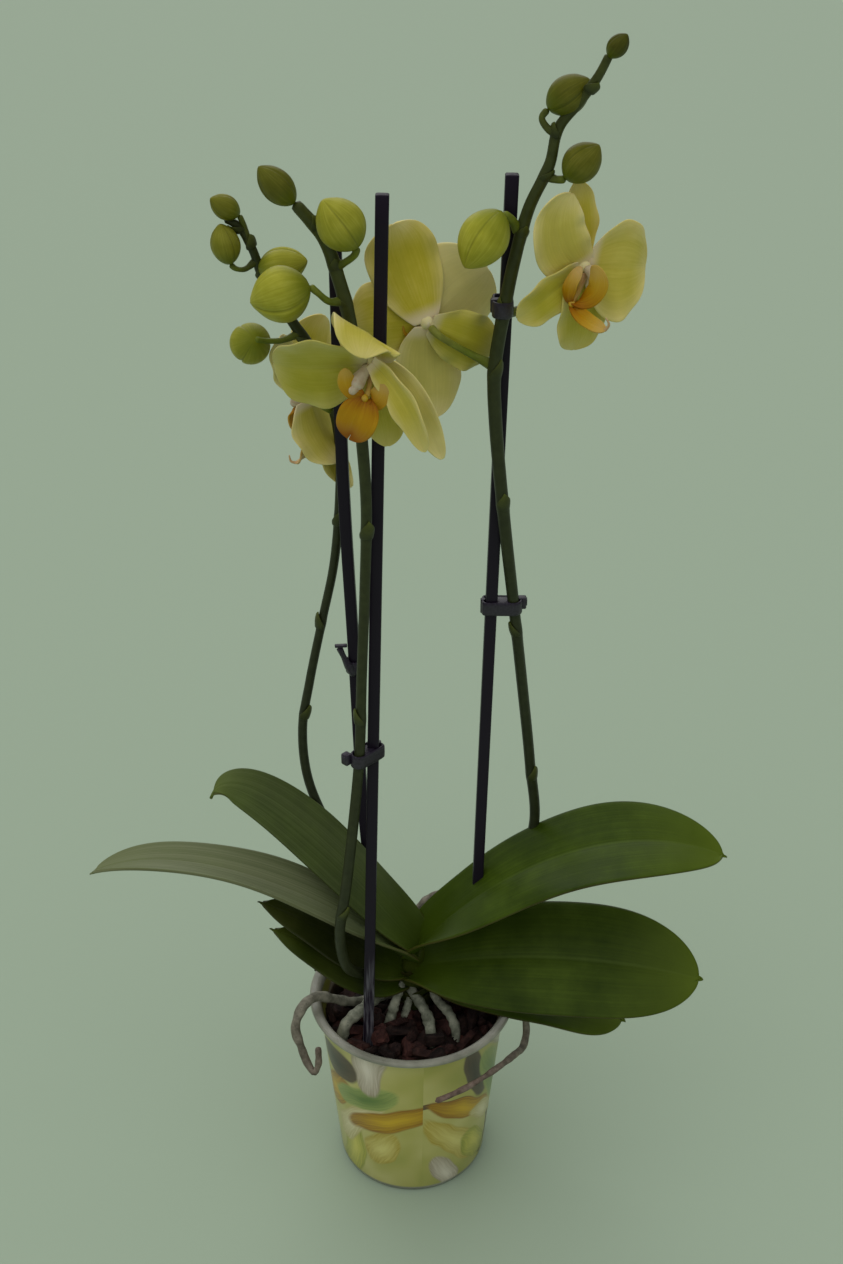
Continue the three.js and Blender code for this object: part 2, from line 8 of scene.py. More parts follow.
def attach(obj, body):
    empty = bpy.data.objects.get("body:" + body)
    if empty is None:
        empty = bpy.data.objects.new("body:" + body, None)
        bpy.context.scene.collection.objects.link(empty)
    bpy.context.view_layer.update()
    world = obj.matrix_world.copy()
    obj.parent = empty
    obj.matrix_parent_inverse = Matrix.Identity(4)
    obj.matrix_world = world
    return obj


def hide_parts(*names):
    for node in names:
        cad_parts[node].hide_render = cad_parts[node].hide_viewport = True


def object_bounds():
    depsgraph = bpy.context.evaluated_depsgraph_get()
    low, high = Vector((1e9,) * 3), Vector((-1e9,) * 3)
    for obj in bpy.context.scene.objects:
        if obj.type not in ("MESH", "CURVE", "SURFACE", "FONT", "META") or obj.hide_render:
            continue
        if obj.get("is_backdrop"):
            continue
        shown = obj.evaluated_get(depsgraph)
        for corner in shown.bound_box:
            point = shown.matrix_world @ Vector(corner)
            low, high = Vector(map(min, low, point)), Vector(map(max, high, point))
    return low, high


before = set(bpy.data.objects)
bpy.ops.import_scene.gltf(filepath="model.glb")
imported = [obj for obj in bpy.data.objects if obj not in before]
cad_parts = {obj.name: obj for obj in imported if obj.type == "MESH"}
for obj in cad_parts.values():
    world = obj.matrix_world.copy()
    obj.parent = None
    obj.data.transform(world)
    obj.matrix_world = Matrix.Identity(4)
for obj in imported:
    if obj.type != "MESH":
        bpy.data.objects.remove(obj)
cad_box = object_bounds()
bpy.ops.object.select_all(action="DESELECT")


# ---- Camera, floor and light ----
# The camera looks down at the plant from the front, about 30 degrees below level.
# The floor is one plain sweep of pale paper under wide soft light from above and behind.

def linear(code):
    """An sRGB hex colour as linear red, green, blue and alpha."""
    parts = [int(code[i:i + 2], 16) / 255 for i in (1, 3, 5)]
    return [c / 12.92 if c <= 0.04045 else ((c + 0.055) / 1.055) ** 2.4 for c in parts] + [1.0]


MAIN_OUTPUTS = {"TexCoord": "Object", "Attribute": "Fac", "TexNoise": "Fac", "Mix": "Result",
                "SeparateXYZ": slice(3)}
USUAL_SETTINGS = {"Mix": {"data_type": "RGBA"}, "UVMap": {"uv_map": "UVMap"},
                  "Attribute": {"attribute_name": "tint"}}


def add_node(tree, kind, inputs=None, out=None, stops=(), **settings):
    """Adds a node with its settings, values, colours and links, and returns its main output."""
    node = tree.nodes.new("ShaderNode" + kind)
    for key, value in {**USUAL_SETTINGS.get(kind, {}), **settings}.items():
        setattr(node, key, value)
    if stops:
        ramp = node.color_ramp.elements
        while len(ramp) < len(stops):
            ramp.new(0.5)
        for element, (place, code) in zip(ramp, stops):
            element.position = place
            element.color = linear(code)
    for key, value in (inputs or {}).items():
        if isinstance(value, bpy.types.NodeSocket):
            tree.links.new(value, node.inputs[key])
        else:
            node.inputs[key].default_value = linear(value) if isinstance(value, str) else value
    return node.outputs[out or MAIN_OUTPUTS.get(kind, 0)]


def material(name, **values):
    """A new material with plain values on its shader; also gives its add function and shader."""
    made = bpy.data.materials.new(name)
    made.use_nodes = True
    shader = made.node_tree.nodes["Principled BSDF"]
    for key, value in values.items():
        shader.inputs[key.replace("_", " ")].default_value = value
    return made, partial(add_node, made.node_tree), shader


def wire(shader, **outputs):
    """Links outputs to the shader sockets they are named after."""
    for key, output in outputs.items():
        shader.id_data.links.new(output, shader.inputs[key.replace("_", " ")])


camera = bpy.data.objects.new("camera", bpy.data.cameras.new("camera"))
bpy.context.collection.objects.link(camera)
camera.location = (0.0056, -0.661, 0.736)
camera.rotation_euler = (radians(60.4), 0, 0)
camera.data.sensor_width = 36
camera.data.lens = 42.72
camera.data.clip_start = 0.01
bpy.context.scene.camera = camera
bpy.context.scene.view_settings.view_transform = "Standard"

bpy.ops.mesh.primitive_plane_add(size=16, location=(0, 4, -0.0006))
floor = bpy.context.object
floor.name = "floor"
paper, add, shader = material("matt backdrop paper", Base_Color=linear("#9bab97"), Roughness=0.95)
floor.data.materials.append(paper)
floor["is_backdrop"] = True

for name, aim, power, spread, mirrored in (
        ("overhead_light", (0.20, 0.32, -1.0), 1.5, 95, False),
        ("rear_light", (0.15, -1.0, -0.75), 0.70, 60, True)):
    lamp = bpy.data.objects.new(name, bpy.data.lights.new(name, "SUN"))
    bpy.context.collection.objects.link(lamp)
    lamp.location = (0, 0, 1.5)
    lamp.rotation_euler = Vector(aim).to_track_quat("-Z", "Y").to_euler()
    lamp.data.energy = power
    lamp.data.angle = radians(spread)
    lamp.visible_glossy = mirrored
world = bpy.data.worlds.new("studio")
bpy.context.scene.world = world
world.use_nodes = True
sky = world.node_tree.nodes["Background"]
sky.inputs["Color"].default_value = linear("#e9eee6")
add = partial(add_node, world.node_tree)
mirror = add("LightPath", out="Is Glossy Ray")
dim = add("MapRange", {"Value": mirror, "To Min": 0.42, "To Max": 0.14})
wire(sky, Strength=dim)


# ---- Pot ----
# A thin injection-moulded polypropylene orchid pot: a milky see-through rim and foot, and
# a glossy printed sleeve between them whose ends meet in one upright seam at the front.

POT_HEIGHT = 0.1195
RIM_RADIUS = 0.060
TOP_RADIUS = 0.0543
FOOT_RADIUS = 0.044
WALL = 0.0012
DRAINS = 6
DRAIN_RADIUS = 0.0034
DRAIN_RING = 0.030


def turned(name, profile, steps):
    """A lathe-turned piece: a profile of radius and height spun about the upright axis."""
    bpy.ops.mesh.primitive_plane_add(size=1)
    piece = bpy.context.object
    piece.name = name
    mesh = piece.data
    mesh.clear_geometry()
    mesh.from_pydata([(r, 0, z) for r, z in profile], [(i, i + 1) for i in range(len(profile) - 1)], [])
    bpy.ops.object.mode_set(mode="EDIT")
    bpy.ops.mesh.select_all(action="SELECT")
    bpy.ops.mesh.spin(steps=steps, angle=tau, center=(0, 0, 0), axis=(0, 0, 1))
    bpy.ops.mesh.select_all(action="SELECT")
    bpy.ops.mesh.remove_doubles(threshold=1e-5)
    bpy.ops.mesh.normals_make_consistent(inside=False)
    bpy.ops.object.mode_set(mode="OBJECT")
    return piece


pot = turned("pot_shell", [
    (0, 0.0016), (0.036, 0.0016), (0.0385, 0.0006), (FOOT_RADIUS - 0.004, 0), (FOOT_RADIUS - 0.0016, 0.0002),
    (FOOT_RADIUS - 0.0004, 0.0011), (FOOT_RADIUS + 0.0001, 0.0026), (0.0490, 0.056), (0.0536, 0.105),
    (TOP_RADIUS, 0.1149), (TOP_RADIUS + 0.0003, 0.1158), (TOP_RADIUS + 0.0012, 0.1164),
    (RIM_RADIUS - 0.0014, 0.1167), (RIM_RADIUS - 0.0005, 0.1170), (RIM_RADIUS - 0.0002, 0.1175),
    (RIM_RADIUS - 0.0002, 0.1185), (RIM_RADIUS - 0.0006, 0.1191), (RIM_RADIUS - 0.0013, POT_HEIGHT),
    (0.0566, 0.1193), (0.0550, 0.1186), (0.0541, 0.1175), (0.0533, 0.1155), (0.0531, 0.1135),
    (0.0480, 0.056), (FOOT_RADIUS - WALL, 0.004), (FOOT_RADIUS - WALL - 0.001, 0.0028), (0.036, 0.0028),
    (0, 0.0028)], 128)
for i in range(DRAINS):
    turn = i * tau / DRAINS
    spot = (DRAIN_RING * cos(turn), DRAIN_RING * sin(turn), 0.002)
    bpy.ops.mesh.primitive_cylinder_add(vertices=24, radius=DRAIN_RADIUS, depth=0.01, location=spot)
    drain = bpy.context.object
    cut = pot.modifiers.new("drain", "BOOLEAN")
    cut.object = drain
    cut.operation = "DIFFERENCE"
    cut.solver = "EXACT"
    bpy.context.view_layer.objects.active = pot
    bpy.ops.object.modifier_apply(modifier=cut.name)
    bpy.data.objects.remove(drain)
bpy.ops.object.select_all(action="DESELECT")
pot.select_set(True)
bpy.ops.object.shade_smooth_by_angle(angle=radians(35))
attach(pot, "root")
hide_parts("pot")

# Polypropylene: milky, slightly glossy and lit through at the rim. The print is flat ink
# under a gloss film. Its pattern is laid out flat: the way round the sleeve from the seam,
# and the height, both in metres.
plastic, add, shader = material(
    "printed polypropylene", Roughness=0.3, IOR=1.49, Subsurface_Weight=0.25,
    Subsurface_Radius=(0.004, 0.004, 0.003))
SEAM = 0.0064
SLEEVE_RADIUS = 0.050
SLEEVE_LENGTH = tau * SLEEVE_RADIUS
place = add("TexCoord")
x, y, z = add("SeparateXYZ", {"Vector": place})
front = add("Math", {0: y, 1: -1.0}, operation="MULTIPLY")
angle = add("Math", {0: x, 1: front}, operation="ARCTAN2")
across = add("Math", {0: angle, 1: SLEEVE_RADIUS, 2: -SEAM}, operation="MULTIPLY_ADD")
wrapped = add("Math", {0: across, 1: SLEEVE_LENGTH, 2: 0.0}, operation="WRAP")
flat = add("CombineXYZ", {"X": wrapped, "Y": z})
drift = add("TexNoise", {"Vector": flat, "Scale": 34, "Detail": 1}, "Color")
shift = add("VectorMath", {0: drift, 1: (0.5, 0.5, 0.5)}, operation="SUBTRACT")
bent = add("VectorMath", {0: shift, 1: (0.014, 0.014, 0), 2: flat}, operation="MULTIPLY_ADD")
field = add("TexNoise", {"Vector": flat, "Scale": 20, "Detail": 2})
ink = add("ValToRGB", {"Fac": field}, stops=(
    (0.3, "#8f9440"), (0.46, "#aba75a"), (0.6, "#bcb674"), (0.75, "#aea24c")))


def printed_leaf(under, center, size, turn, core, edge, ring=0.0):
    """One printed leaf, or with ring a slender arc, over what is under it."""
    spot = add("Mapping", {
        "Vector": bent, "Location": (*center, 0), "Rotation": (0, 0, radians(turn)), "Scale": (*size, 1),
    }, vector_type="TEXTURE")
    far = add("VectorMath", {0: spot}, "Value", operation="LENGTH")
    if ring:
        off = add("Math", {0: far, 1: 1.0, 2: ring}, operation="COMPARE")
        side = add("SeparateXYZ", {"Vector": spot})[0]
        mask = add("Math", {0: side, 1: 0.0}, operation="GREATER_THAN")
        mask = add("Math", {0: mask, 1: off}, operation="MULTIPLY")
    else:
        mask = add("MapRange", {"Value": far, "From Min": 1.0, "From Max": 0.86})
    veined = add("Mapping", {"Vector": spot, "Scale": (5, 0.9, 1)})
    streak = add("TexNoise", {"Vector": veined, "Scale": 1.6, "Detail": 3})
    blend = add("Math", {0: far, 1: streak}, operation="MULTIPLY")
    blend = add("MapRange", {"Value": blend, "From Min": 0.05, "From Max": 0.5})
    tone = add("Mix", {"Factor": blend, "A": core, "B": edge})
    return add("Mix", {"Factor": mask, "A": under, "B": tone})


# Thirty soft leaves spread evenly over the sleeve by two irrational steps, in turn of ink
# and slant, and under every tenth a slender dark arc.
inks = (("#d8cfc0", "#a0937e"), ("#c8a41e", "#8a5f14"), ("#cfc65c", "#8f9230"), ("#5f7a3a", "#98a45c"),
        ("#d3c97a", "#aa9638"), ("#382f27", "#5e4f3c"), ("#dcd3ae", "#b5a96c"))
for i in range(30):
    spot = (SLEEVE_LENGTH * (0.05 + i * 0.7549 % 1), 0.012 + 0.094 * (i * 0.5698 % 1))
    slant = (24, -38, 62, -12, 40, -64)[i % 6]
    if i % 10 == 4:
        ink = printed_leaf(ink, spot, (0.030, 0.044), slant, "#3b3024", "#5c4a34", ring=0.07)
    ink = printed_leaf(ink, spot, (0.009 + 0.0016 * (i % 4), 0.019 + 0.004 * (i % 5)), slant, *inks[i % 7])
top_edge = add("MapRange", {"Value": z, "From Min": 0.1142, "From Max": 0.1152})
foot_edge = add("MapRange", {"Value": z, "From Min": 0.0040, "From Max": 0.0028})
bare = add("Math", {0: top_edge, 1: foot_edge}, operation="MAXIMUM")
milk = add("TexNoise", {"Vector": place, "Scale": 60, "Detail": 3})
clear = add("ValToRGB", {"Fac": milk}, stops=((0.35, "#78786c"), (0.65, "#949387")))
color = add("Mix", {"Factor": bare, "A": ink, "B": clear})
lap = add("MapRange", {"Value": wrapped, "From Min": 0.0, "From Max": 0.0005})
ripple = add("TexNoise", {"Vector": place, "Scale": 45, "Detail": 1})
height = add("Math", {0: lap, 1: 0.3, 2: ripple}, operation="MULTIPLY_ADD")
bump = add("Bump", {"Height": height, "Strength": 0.25, "Distance": 0.0008})
wire(shader, Base_Color=color, Normal=bump)
pot.data.materials.append(plastic)


# ---- Bark ----
# The pot is filled with coarse pine bark chips, dark reddish brown and dry. A dark bed
# lies under a seeded heap of broken flakes, and two flakes lean on the rim at the back left.

BED_TOP = 0.0965
BED_RADIUS = 0.0500
HEAP_RADIUS = 0.0462
GOLDEN_ANGLE = 2.39996
CHIPS = 170
CHIP_FORMS = 7


def join_all(parts, name):
    """Joins the parts into the first one and gives it a name."""
    bpy.ops.object.select_all(action="DESELECT")
    for part in parts:
        part.select_set(True)
    bpy.context.view_layer.objects.active = parts[0]
    if len(parts) > 1:
        bpy.ops.object.join()
    parts[0].name = name
    return parts[0]


# Dry bark: dull and rough, nearly black in its pores, with redder broken faces.
bark_skin, add, shader = material("dry pine bark", Roughness=0.85)
place = add("TexCoord")
grain_space = add("Mapping", {"Vector": place, "Scale": (1, 1, 2.4)})
grain = add("TexNoise", {"Vector": grain_space, "Scale": 210, "Detail": 7, "Roughness": 0.65})
own = add("Attribute")
dark = add("ValToRGB", {"Fac": grain}, stops=((0.3, "#0c0808"), (0.5, "#1d1413"), (0.72, "#33231e")))
light = add("ValToRGB", {"Fac": grain}, stops=((0.3, "#241312"), (0.5, "#422522"), (0.72, "#5f3a32")))
tone = add("Mix", {"Factor": own, "A": dark, "B": light})
relief = add("Bump", {"Height": grain, "Strength": 0.9, "Distance": 0.0016})
wire(shader, Base_Color=tone, Normal=relief)

draw = random.Random(11)
bed_profile = [(0, 0.006), (0.0415, 0.006), (BED_RADIUS, 0.092), (0.046, BED_TOP - 0.001), (0, BED_TOP)]
bed = turned("bark_bed", bed_profile, 48)
shapes = []
for i in range(CHIP_FORMS):
    bpy.ops.mesh.primitive_ico_sphere_add(subdivisions=2, radius=1)
    shape = bpy.context.object
    for corner in shape.data.vertices:
        c = corner.co
        c.x = copysign(abs(c.x) ** 0.42, c.x)
        c.y = copysign(abs(c.y) ** 0.5, c.y)
        c.z = copysign(abs(c.z) ** 0.55, c.z)
        rough = sin(c.x * 4 + i * 2) * cos(c.y * 5 + i) + 0.6 * sin(c.z * 8 + c.x * 6 + i * 3)
        corner.co = c * (1 + 0.13 * rough)
    bpy.ops.object.shade_smooth_by_angle(angle=radians(28))
    shapes.append(shape)
chips = [bed]
places = []
for i in range(CHIPS):
    angle = i * GOLDEN_ANGLE
    reach = HEAP_RADIUS * sqrt((i + 0.5) / CHIPS)
    size = (draw.uniform(0.0035, 0.0085), draw.uniform(0.0024, 0.0052), draw.uniform(0.0014, 0.0034))
    places.append(((reach * cos(angle), reach * sin(angle), draw.uniform(0.0955, 0.1055)), size))
places += [((-0.0545, 0.0220, 0.1195), (0.0050, 0.0036, 0.0030)),
           ((-0.0500, 0.0300, 0.1165), (0.0042, 0.0030, 0.0024))]
for spot, size in places:
    chip = shapes[draw.randrange(CHIP_FORMS)].copy()
    chip.data = chip.data.copy()
    bpy.context.collection.objects.link(chip)
    turn = Matrix.Rotation(draw.uniform(0, tau), 4, "Z") @ Matrix.Rotation(draw.uniform(-0.8, 0.8), 4, "X")
    turn = turn @ Matrix.Rotation(draw.uniform(-0.8, 0.8), 4, "Y")
    chip.data.transform(Matrix.Translation(spot) @ turn @ Matrix.Diagonal((*size, 1)))
    tint = chip.data.attributes.new("tint", "FLOAT", "POINT")
    shade = draw.random() ** 1.6
    for value in tint.data:
        value.value = shade
    chips.append(chip)
for shape in shapes:
    bpy.data.objects.remove(shape)
bed = join_all(chips, "bark_bed")
bed.data.materials.append(bark_skin)
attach(bed, "root")
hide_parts("bark")


# ---- Roots ----
# Fat air roots with a dry silvery skin over green flesh, lumpy and a little kinked. Some
# dive into the bark, two wander out over the rim and one curls up behind the leaves.

def points_along(points, count):
    """Points at equal steps along a smooth curve through the given ones, in metres."""
    p = [Vector(q) * 0.001 for q in points]
    p = [p[0] * 2 - p[1]] + p + [p[-1] * 2 - p[-2]]
    fine = []
    for a, b, c, d in zip(p, p[1:], p[2:], p[3:]):
        t1 = (b - a).length ** 0.5
        t2 = t1 + (c - b).length ** 0.5
        t3 = t2 + (d - c).length ** 0.5
        for k in range(24):
            t = t1 + (t2 - t1) * k / 24
            a1 = a * ((t1 - t) / t1) + b * (t / t1)
            a2 = b * ((t2 - t) / (t2 - t1)) + c * ((t - t1) / (t2 - t1))
            a3 = c * ((t3 - t) / (t3 - t2)) + d * ((t - t2) / (t3 - t2))
            b1 = a1 * ((t2 - t) / t2) + a2 * (t / t2)
            b2 = a2 * ((t3 - t) / (t3 - t1)) + a3 * ((t - t1) / (t3 - t1))
            fine.append(b1 * ((t2 - t) / (t2 - t1)) + b2 * ((t - t1) / (t2 - t1)))
    fine.append(p[-2])
    reach = [0.0]
    for a, b in zip(fine, fine[1:]):
        reach.append(reach[-1] + (b - a).length)
    out, j = [], 0
    for i in range(count + 1):
        want = reach[-1] * i / count
        while j < len(fine) - 2 and reach[j + 1] < want:
            j += 1
        out.append(fine[j].lerp(fine[j + 1], min(1.0, (want - reach[j]) / (reach[j + 1] - reach[j]))))
    return out


def grown(name, nu, nv, place, tint=None):
    """A grid of nu by nv faces with each corner set by place(u, v), and its shade by tint."""
    bpy.ops.mesh.primitive_grid_add(x_subdivisions=nu, y_subdivisions=nv, size=1)
    piece = bpy.context.object
    piece.name = name
    shade = piece.data.attributes.new("tint", "FLOAT", "POINT") if tint else None
    for corner in piece.data.vertices:
        u, v = corner.co.x + 0.5, corner.co.y + 0.5
        corner.co = place(u, v)
        if tint:
            shade.data[corner.index].value = tint(u, v)
    return piece


def closed(piece):
    """Joins the edges of a rolled-up grid and points its faces outwards."""
    bpy.ops.object.mode_set(mode="EDIT")
    bpy.ops.mesh.select_all(action="SELECT")
    bpy.ops.mesh.remove_doubles(threshold=2e-6)
    bpy.ops.mesh.normals_make_consistent(inside=False)
    bpy.ops.object.mode_set(mode="OBJECT")
    bpy.ops.object.shade_smooth()
    return piece


def round_cord(name, points, radii, around, rows, swell=None, tint=None):
    """A round living cord along a curve: radii in mm read along it, its ends rounded off."""
    line = points_along(points, rows)
    ways = [(line[min(i + 1, rows)] - line[max(i - 1, 0)]).normalized() for i in range(rows + 1)]
    side = ways[0].orthogonal().normalized()
    sides = []
    for way in ways:
        side = (side - way * side.dot(way)).normalized()
        sides.append(side)
    length = sum((b - a).length for a, b in zip(line, line[1:]))

    def place(u, v):
        row = round(u * rows)
        at = u * (len(radii) - 1)
        low = min(int(at), len(radii) - 2)
        radius = (radii[low] + (radii[low + 1] - radii[low]) * (at - low)) * 0.001
        near = min(u, 1 - u) * length / radius
        if near < 1:
            radius *= sqrt(max(0.0, 1 - (1 - near) ** 2))
        turn = v * tau
        if swell:
            radius *= swell(u, turn)
        out = sides[row] * cos(turn) + ways[row].cross(sides[row]) * sin(turn)
        return line[row] + out * radius
    return closed(grown(name, rows, around, place, tint))


def laid_over(tone, code, value, low=0.0, high=1.0, most=1.0, **settings):
    """A colour laid over a tone: none where the value is low, its most where it is high."""
    share = add("MapRange", {"Value": value, "From Min": low, "From Max": high, "To Max": most}, **settings)
    return add("Mix", {"Factor": share, "A": tone, "B": code})


# Dry velamen: chalky and matt, silvery where thick, olive where the flesh shows, brown
# where it is old or has touched the plastic.
root_skin, add, shader = material("dry velamen root skin", Roughness=0.72, IOR=1.4)
place = add("TexCoord")
patch = add("TexNoise", {"Vector": place, "Scale": 170, "Detail": 6, "Roughness": 0.6})
fleck = add("TexNoise", {"Vector": place, "Scale": 800, "Detail": 3})
own = add("Attribute")
silver = add("ValToRGB", {"Fac": patch}, stops=(
    (0.28, "#4b4f42"), (0.46, "#6f7364"), (0.6, "#8b8e7e"), (0.75, "#9a9b88")))
brown = add("ValToRGB", {"Fac": patch}, stops=((0.3, "#4a3a33"), (0.5, "#6e5a52"), (0.7, "#8a756c")))
tone = add("Mix", {"Factor": own, "A": silver, "B": brown})
tone = laid_over(tone, "#3c3d30", fleck, 0.60, 0.72, 0.5)
relief = add("Bump", {"Height": patch, "Strength": 0.5, "Distance": 0.0008})
wire(shader, Base_Color=tone, Normal=relief)

# Each root: its path and its radii in millimetres, and how brown it is from foot to tip.
roots = {
    "root_over_rim_left": (
        [[-4, 12, 108], [-22, 6, 107], [-36, 0, 110], [-46, -7, 119], [-55, -14, 127], [-62, -23, 128],
         [-66, -31, 120], [-63, -35, 109], [-59, -39, 99], [-55.5, -42, 96], [-53, -42.5, 102],
         [-52.5, -42.5, 116]],
        [2.6, 2.7, 2.8, 2.8, 2.9, 2.9, 2.6, 2.3, 1.8, 1.9], (0.1, 0.8)),
    "root_front_left": (
        [[-3, 9, 122], [-12, 5, 118], [-20, 0, 115], [-30, -12, 114], [-38, -18, 110], [-40, -21, 104],
         [-40, -22, 97]],
        [2.8, 3.4, 3.6, 3.6, 3.5, 3.4, 3.2], (0.0, 0.1)),
    "root_mid_left": (
        [[-4.5, 3, 124.5], [-8, -2, 118], [-11, -6, 110], [-13.5, -11, 101], [-14, -13, 96]],
        [2.2, 2.6, 3.1, 2.8], (0.0, 0.1)),
    "root_mid": (
        [[-3, 5, 121], [0, 2, 117], [4.5, -3, 112.5], [9, -11, 109], [11, -20, 104], [11, -24, 96]],
        [2.6, 3.2, 3.0, 3.4, 3.2, 3.2], (0.0, 0.1)),
    "root_mid_right": (
        [[8, 8, 122], [11.5, 4, 119], [15, -2, 113], [21, -8, 110], [25, -15, 105], [26, -20, 96]],
        [2.2, 2.7, 2.6, 2.9, 2.8, 2.6], (0.1, 0.0)),
    "root_over_rim_right": (
        [[7, 12, 112], [28, 10, 114], [46, 6, 120], [60, 4, 122], [66, 2, 116], [67, 1, 100],
         [68, -2, 88], [66, -10, 85], [59, -26, 93], [47, -45, 101], [34, -55, 100], [22, -60, 97],
         [13, -62, 94]],
        [2.2, 2.3, 2.2, 2.2, 2.0, 1.6, 1.7], (0.2, 1.0)),
    "root_back_aerial": (
        [[3, 14, 136], [2, 23, 148], [3, 27, 155], [8, 30, 161], [16, 33, 164], [24, 36, 161],
         [33, 40, 156]],
        [2.6, 2.6, 2.5, 2.4, 2.2, 1.6], (0.3, 0.7)),
}
for order, (name, (path, radii, browning)) in enumerate(roots.items()):
    def lumpy(u, turn, order=order, length=len(path)):
        kink = sin(u * length * 4.1 + order * 2) + 0.6 * sin(u * length * 9.3 + order)
        return 1 + 0.07 * kink + 0.04 * sin(u * 67 + turn * 2 + order)

    def rusty(u, v, browning=browning):
        return browning[0] + (browning[1] - browning[0]) * u ** 1.5
    parts = [round_cord(name, path, radii, 16, 110, lumpy, rusty)]
    if name == "root_mid":
        stub = [[-1, 2, 113], [-2.5, -3, 110], [-5, -8, 104]]
        parts.append(round_cord("root_stub", stub, [1.9, 2.4, 2.0], 12, 20, lumpy, rusty))
    root = join_all(parts, name + "_skin")
    root.data.materials.append(root_skin)
    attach(root, "root")
    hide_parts(name)


# ---- Crown and leaves ----
# Seven thick strap leaves clasp a short crown, three to the right and four to the left.
# Each is one fleshy blade, rolled round the crown at its foot, with a sunk midrib.

def bezier(rib, u):
    """The point and the direction of a four point curve at u."""
    a, b, c, d = (Vector(p) * 0.001 for p in rib)
    w = 1 - u
    point = a * w ** 3 + b * (3 * w * w * u) + c * (3 * w * u * u) + d * u ** 3
    way = (b - a) * (3 * w * w) + (c - b) * (6 * w * u) + (d - c) * (3 * u * u)
    return point, way.normalized()


def along_blade(rib, across, k, v):
    """How far along and across its blade a corner lies, with its point on the rib and its axes."""
    u = 1 - (1 - k) ** 1.4
    point, way = bezier(rib, u)
    side = Vector(across)
    side = (side - way * side.dot(way)).normalized()
    return u, v * 2 - 1, point, way, side, way.cross(side)


def half_width(form, u):
    """The outline of a leaf or petal: its half width at u, as a share of the widest."""
    wide, neck = form["wide"], form["neck"]
    if u < wide:
        return neck + (1 - neck) * (1 - ((wide - u) / wide) ** 2.2)
    return max(0.0, 1 - ((u - wide) / (1 - wide)) ** form["blunt"]) ** form.get("point", 0.5)


def thickened(piece, thickness):
    """Gives a blade its thickness, smooths it once and applies both."""
    bpy.ops.object.select_all(action="DESELECT")
    piece.select_set(True)
    bpy.context.view_layer.objects.active = piece
    solid = piece.modifiers.new("thickness", "SOLIDIFY")
    solid.thickness = thickness
    solid.offset = 0
    bpy.ops.object.modifier_apply(modifier=solid.name)
    smooth = piece.modifiers.new("smooth", "SUBSURF")
    smooth.levels = smooth.render_levels = 1
    bpy.ops.object.modifier_apply(modifier=smooth.name)
    bpy.ops.object.shade_smooth()
    return piece


LEAF_THICKNESS = 0.0018
LEAF_WAVE = 0.0008
LEAF_SHEATH = 0.13
LEAF_ROWS = 56
LEAF_COLUMNS = 22


def leaf_blade(name, leaf):
    """One leaf: a channelled blade along its rib, rolled into a sheath at its foot."""
    def place(k, v):
        u, s, point, way, side, up = along_blade(leaf["rib"], leaf["across"], k, v)
        half = leaf["half"] * 0.001 * max(half_width(leaf, u), 0.02)
        roll = leaf.get("clasp", 1.5) * exp(-(u / LEAF_SHEATH) ** 2) + 0.001
        fold, cup = leaf["fold"], leaf["cup"]
        out = half * sin(s * roll) / roll * sqrt(max(0.1, 1 - (fold + cup * abs(s)) ** 2 * 0.6))
        lift = half * (1 - cos(s * roll)) / roll
        lift += (fold * (hypot(s, 0.12) - 0.12) + cup * s * s) * half
        lift -= 0.0007 * exp(-(s / 0.05) ** 2) * min(1, u * 8) * (1 - u * 0.5)
        lift += LEAF_WAVE * sin(u * 13 + s * 2.2 + leaf["half"]) * s * s * min(1, u * 4)
        beak = 0.0035 * exp(-(s / 0.22) ** 2) * max(0, (u - 0.9) * 10) ** 2
        return point + side * out + up * lift + way * beak
    age = leaf.get("age", 0.0)
    blade = grown(name, LEAF_ROWS, LEAF_COLUMNS, place, lambda u, v: age * min(1, u * 4))
    return thickened(blade, LEAF_THICKNESS)


crown_path = [[1, 13, 98], [1, 12, 112], [1, 9, 126], [2, 7, 138], [4, 6, 148]]
crown = round_cord(
    "crown_stem", crown_path, [9, 9.4, 9, 7, 4.5], 30, 40,
    lambda u, turn: 1 + 0.05 * sin(u * 38) + 0.05 * cos(2 * turn), lambda u, v: 0.5)
sheaths = [crown]
for foot, radius, facing in (
        ((1, 11, 103), 10.8, 0.3), ((1, 11, 109), 10.4, -1.2), ((1, 9, 115), 10.2, 1.5),
        ((1, 9, 122), 9.8, -0.2)):
    def sheath_place(u, v, foot=foot, radius=radius, facing=facing):
        turn = facing + (v - 0.5) * 3.4 * (1 - 0.55 * u ** 2)
        reach = radius + u * 1.7
        ragged = 1.4 * sin(v * 23 + foot[2]) * u
        return Vector((foot[0] + reach * sin(turn), foot[1] - reach * cos(turn),
                       foot[2] + u * 13 * cos((v - 0.5) * 2.2) + ragged)) * 0.001
    sheaths.append(thickened(grown("old_sheath", 8, 18, sheath_place, lambda u, v: 0.4 + 0.5 * u), 0.0006))
crown = join_all(sheaths, "crown_and_old_sheaths")
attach(crown, "root")
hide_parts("crown")

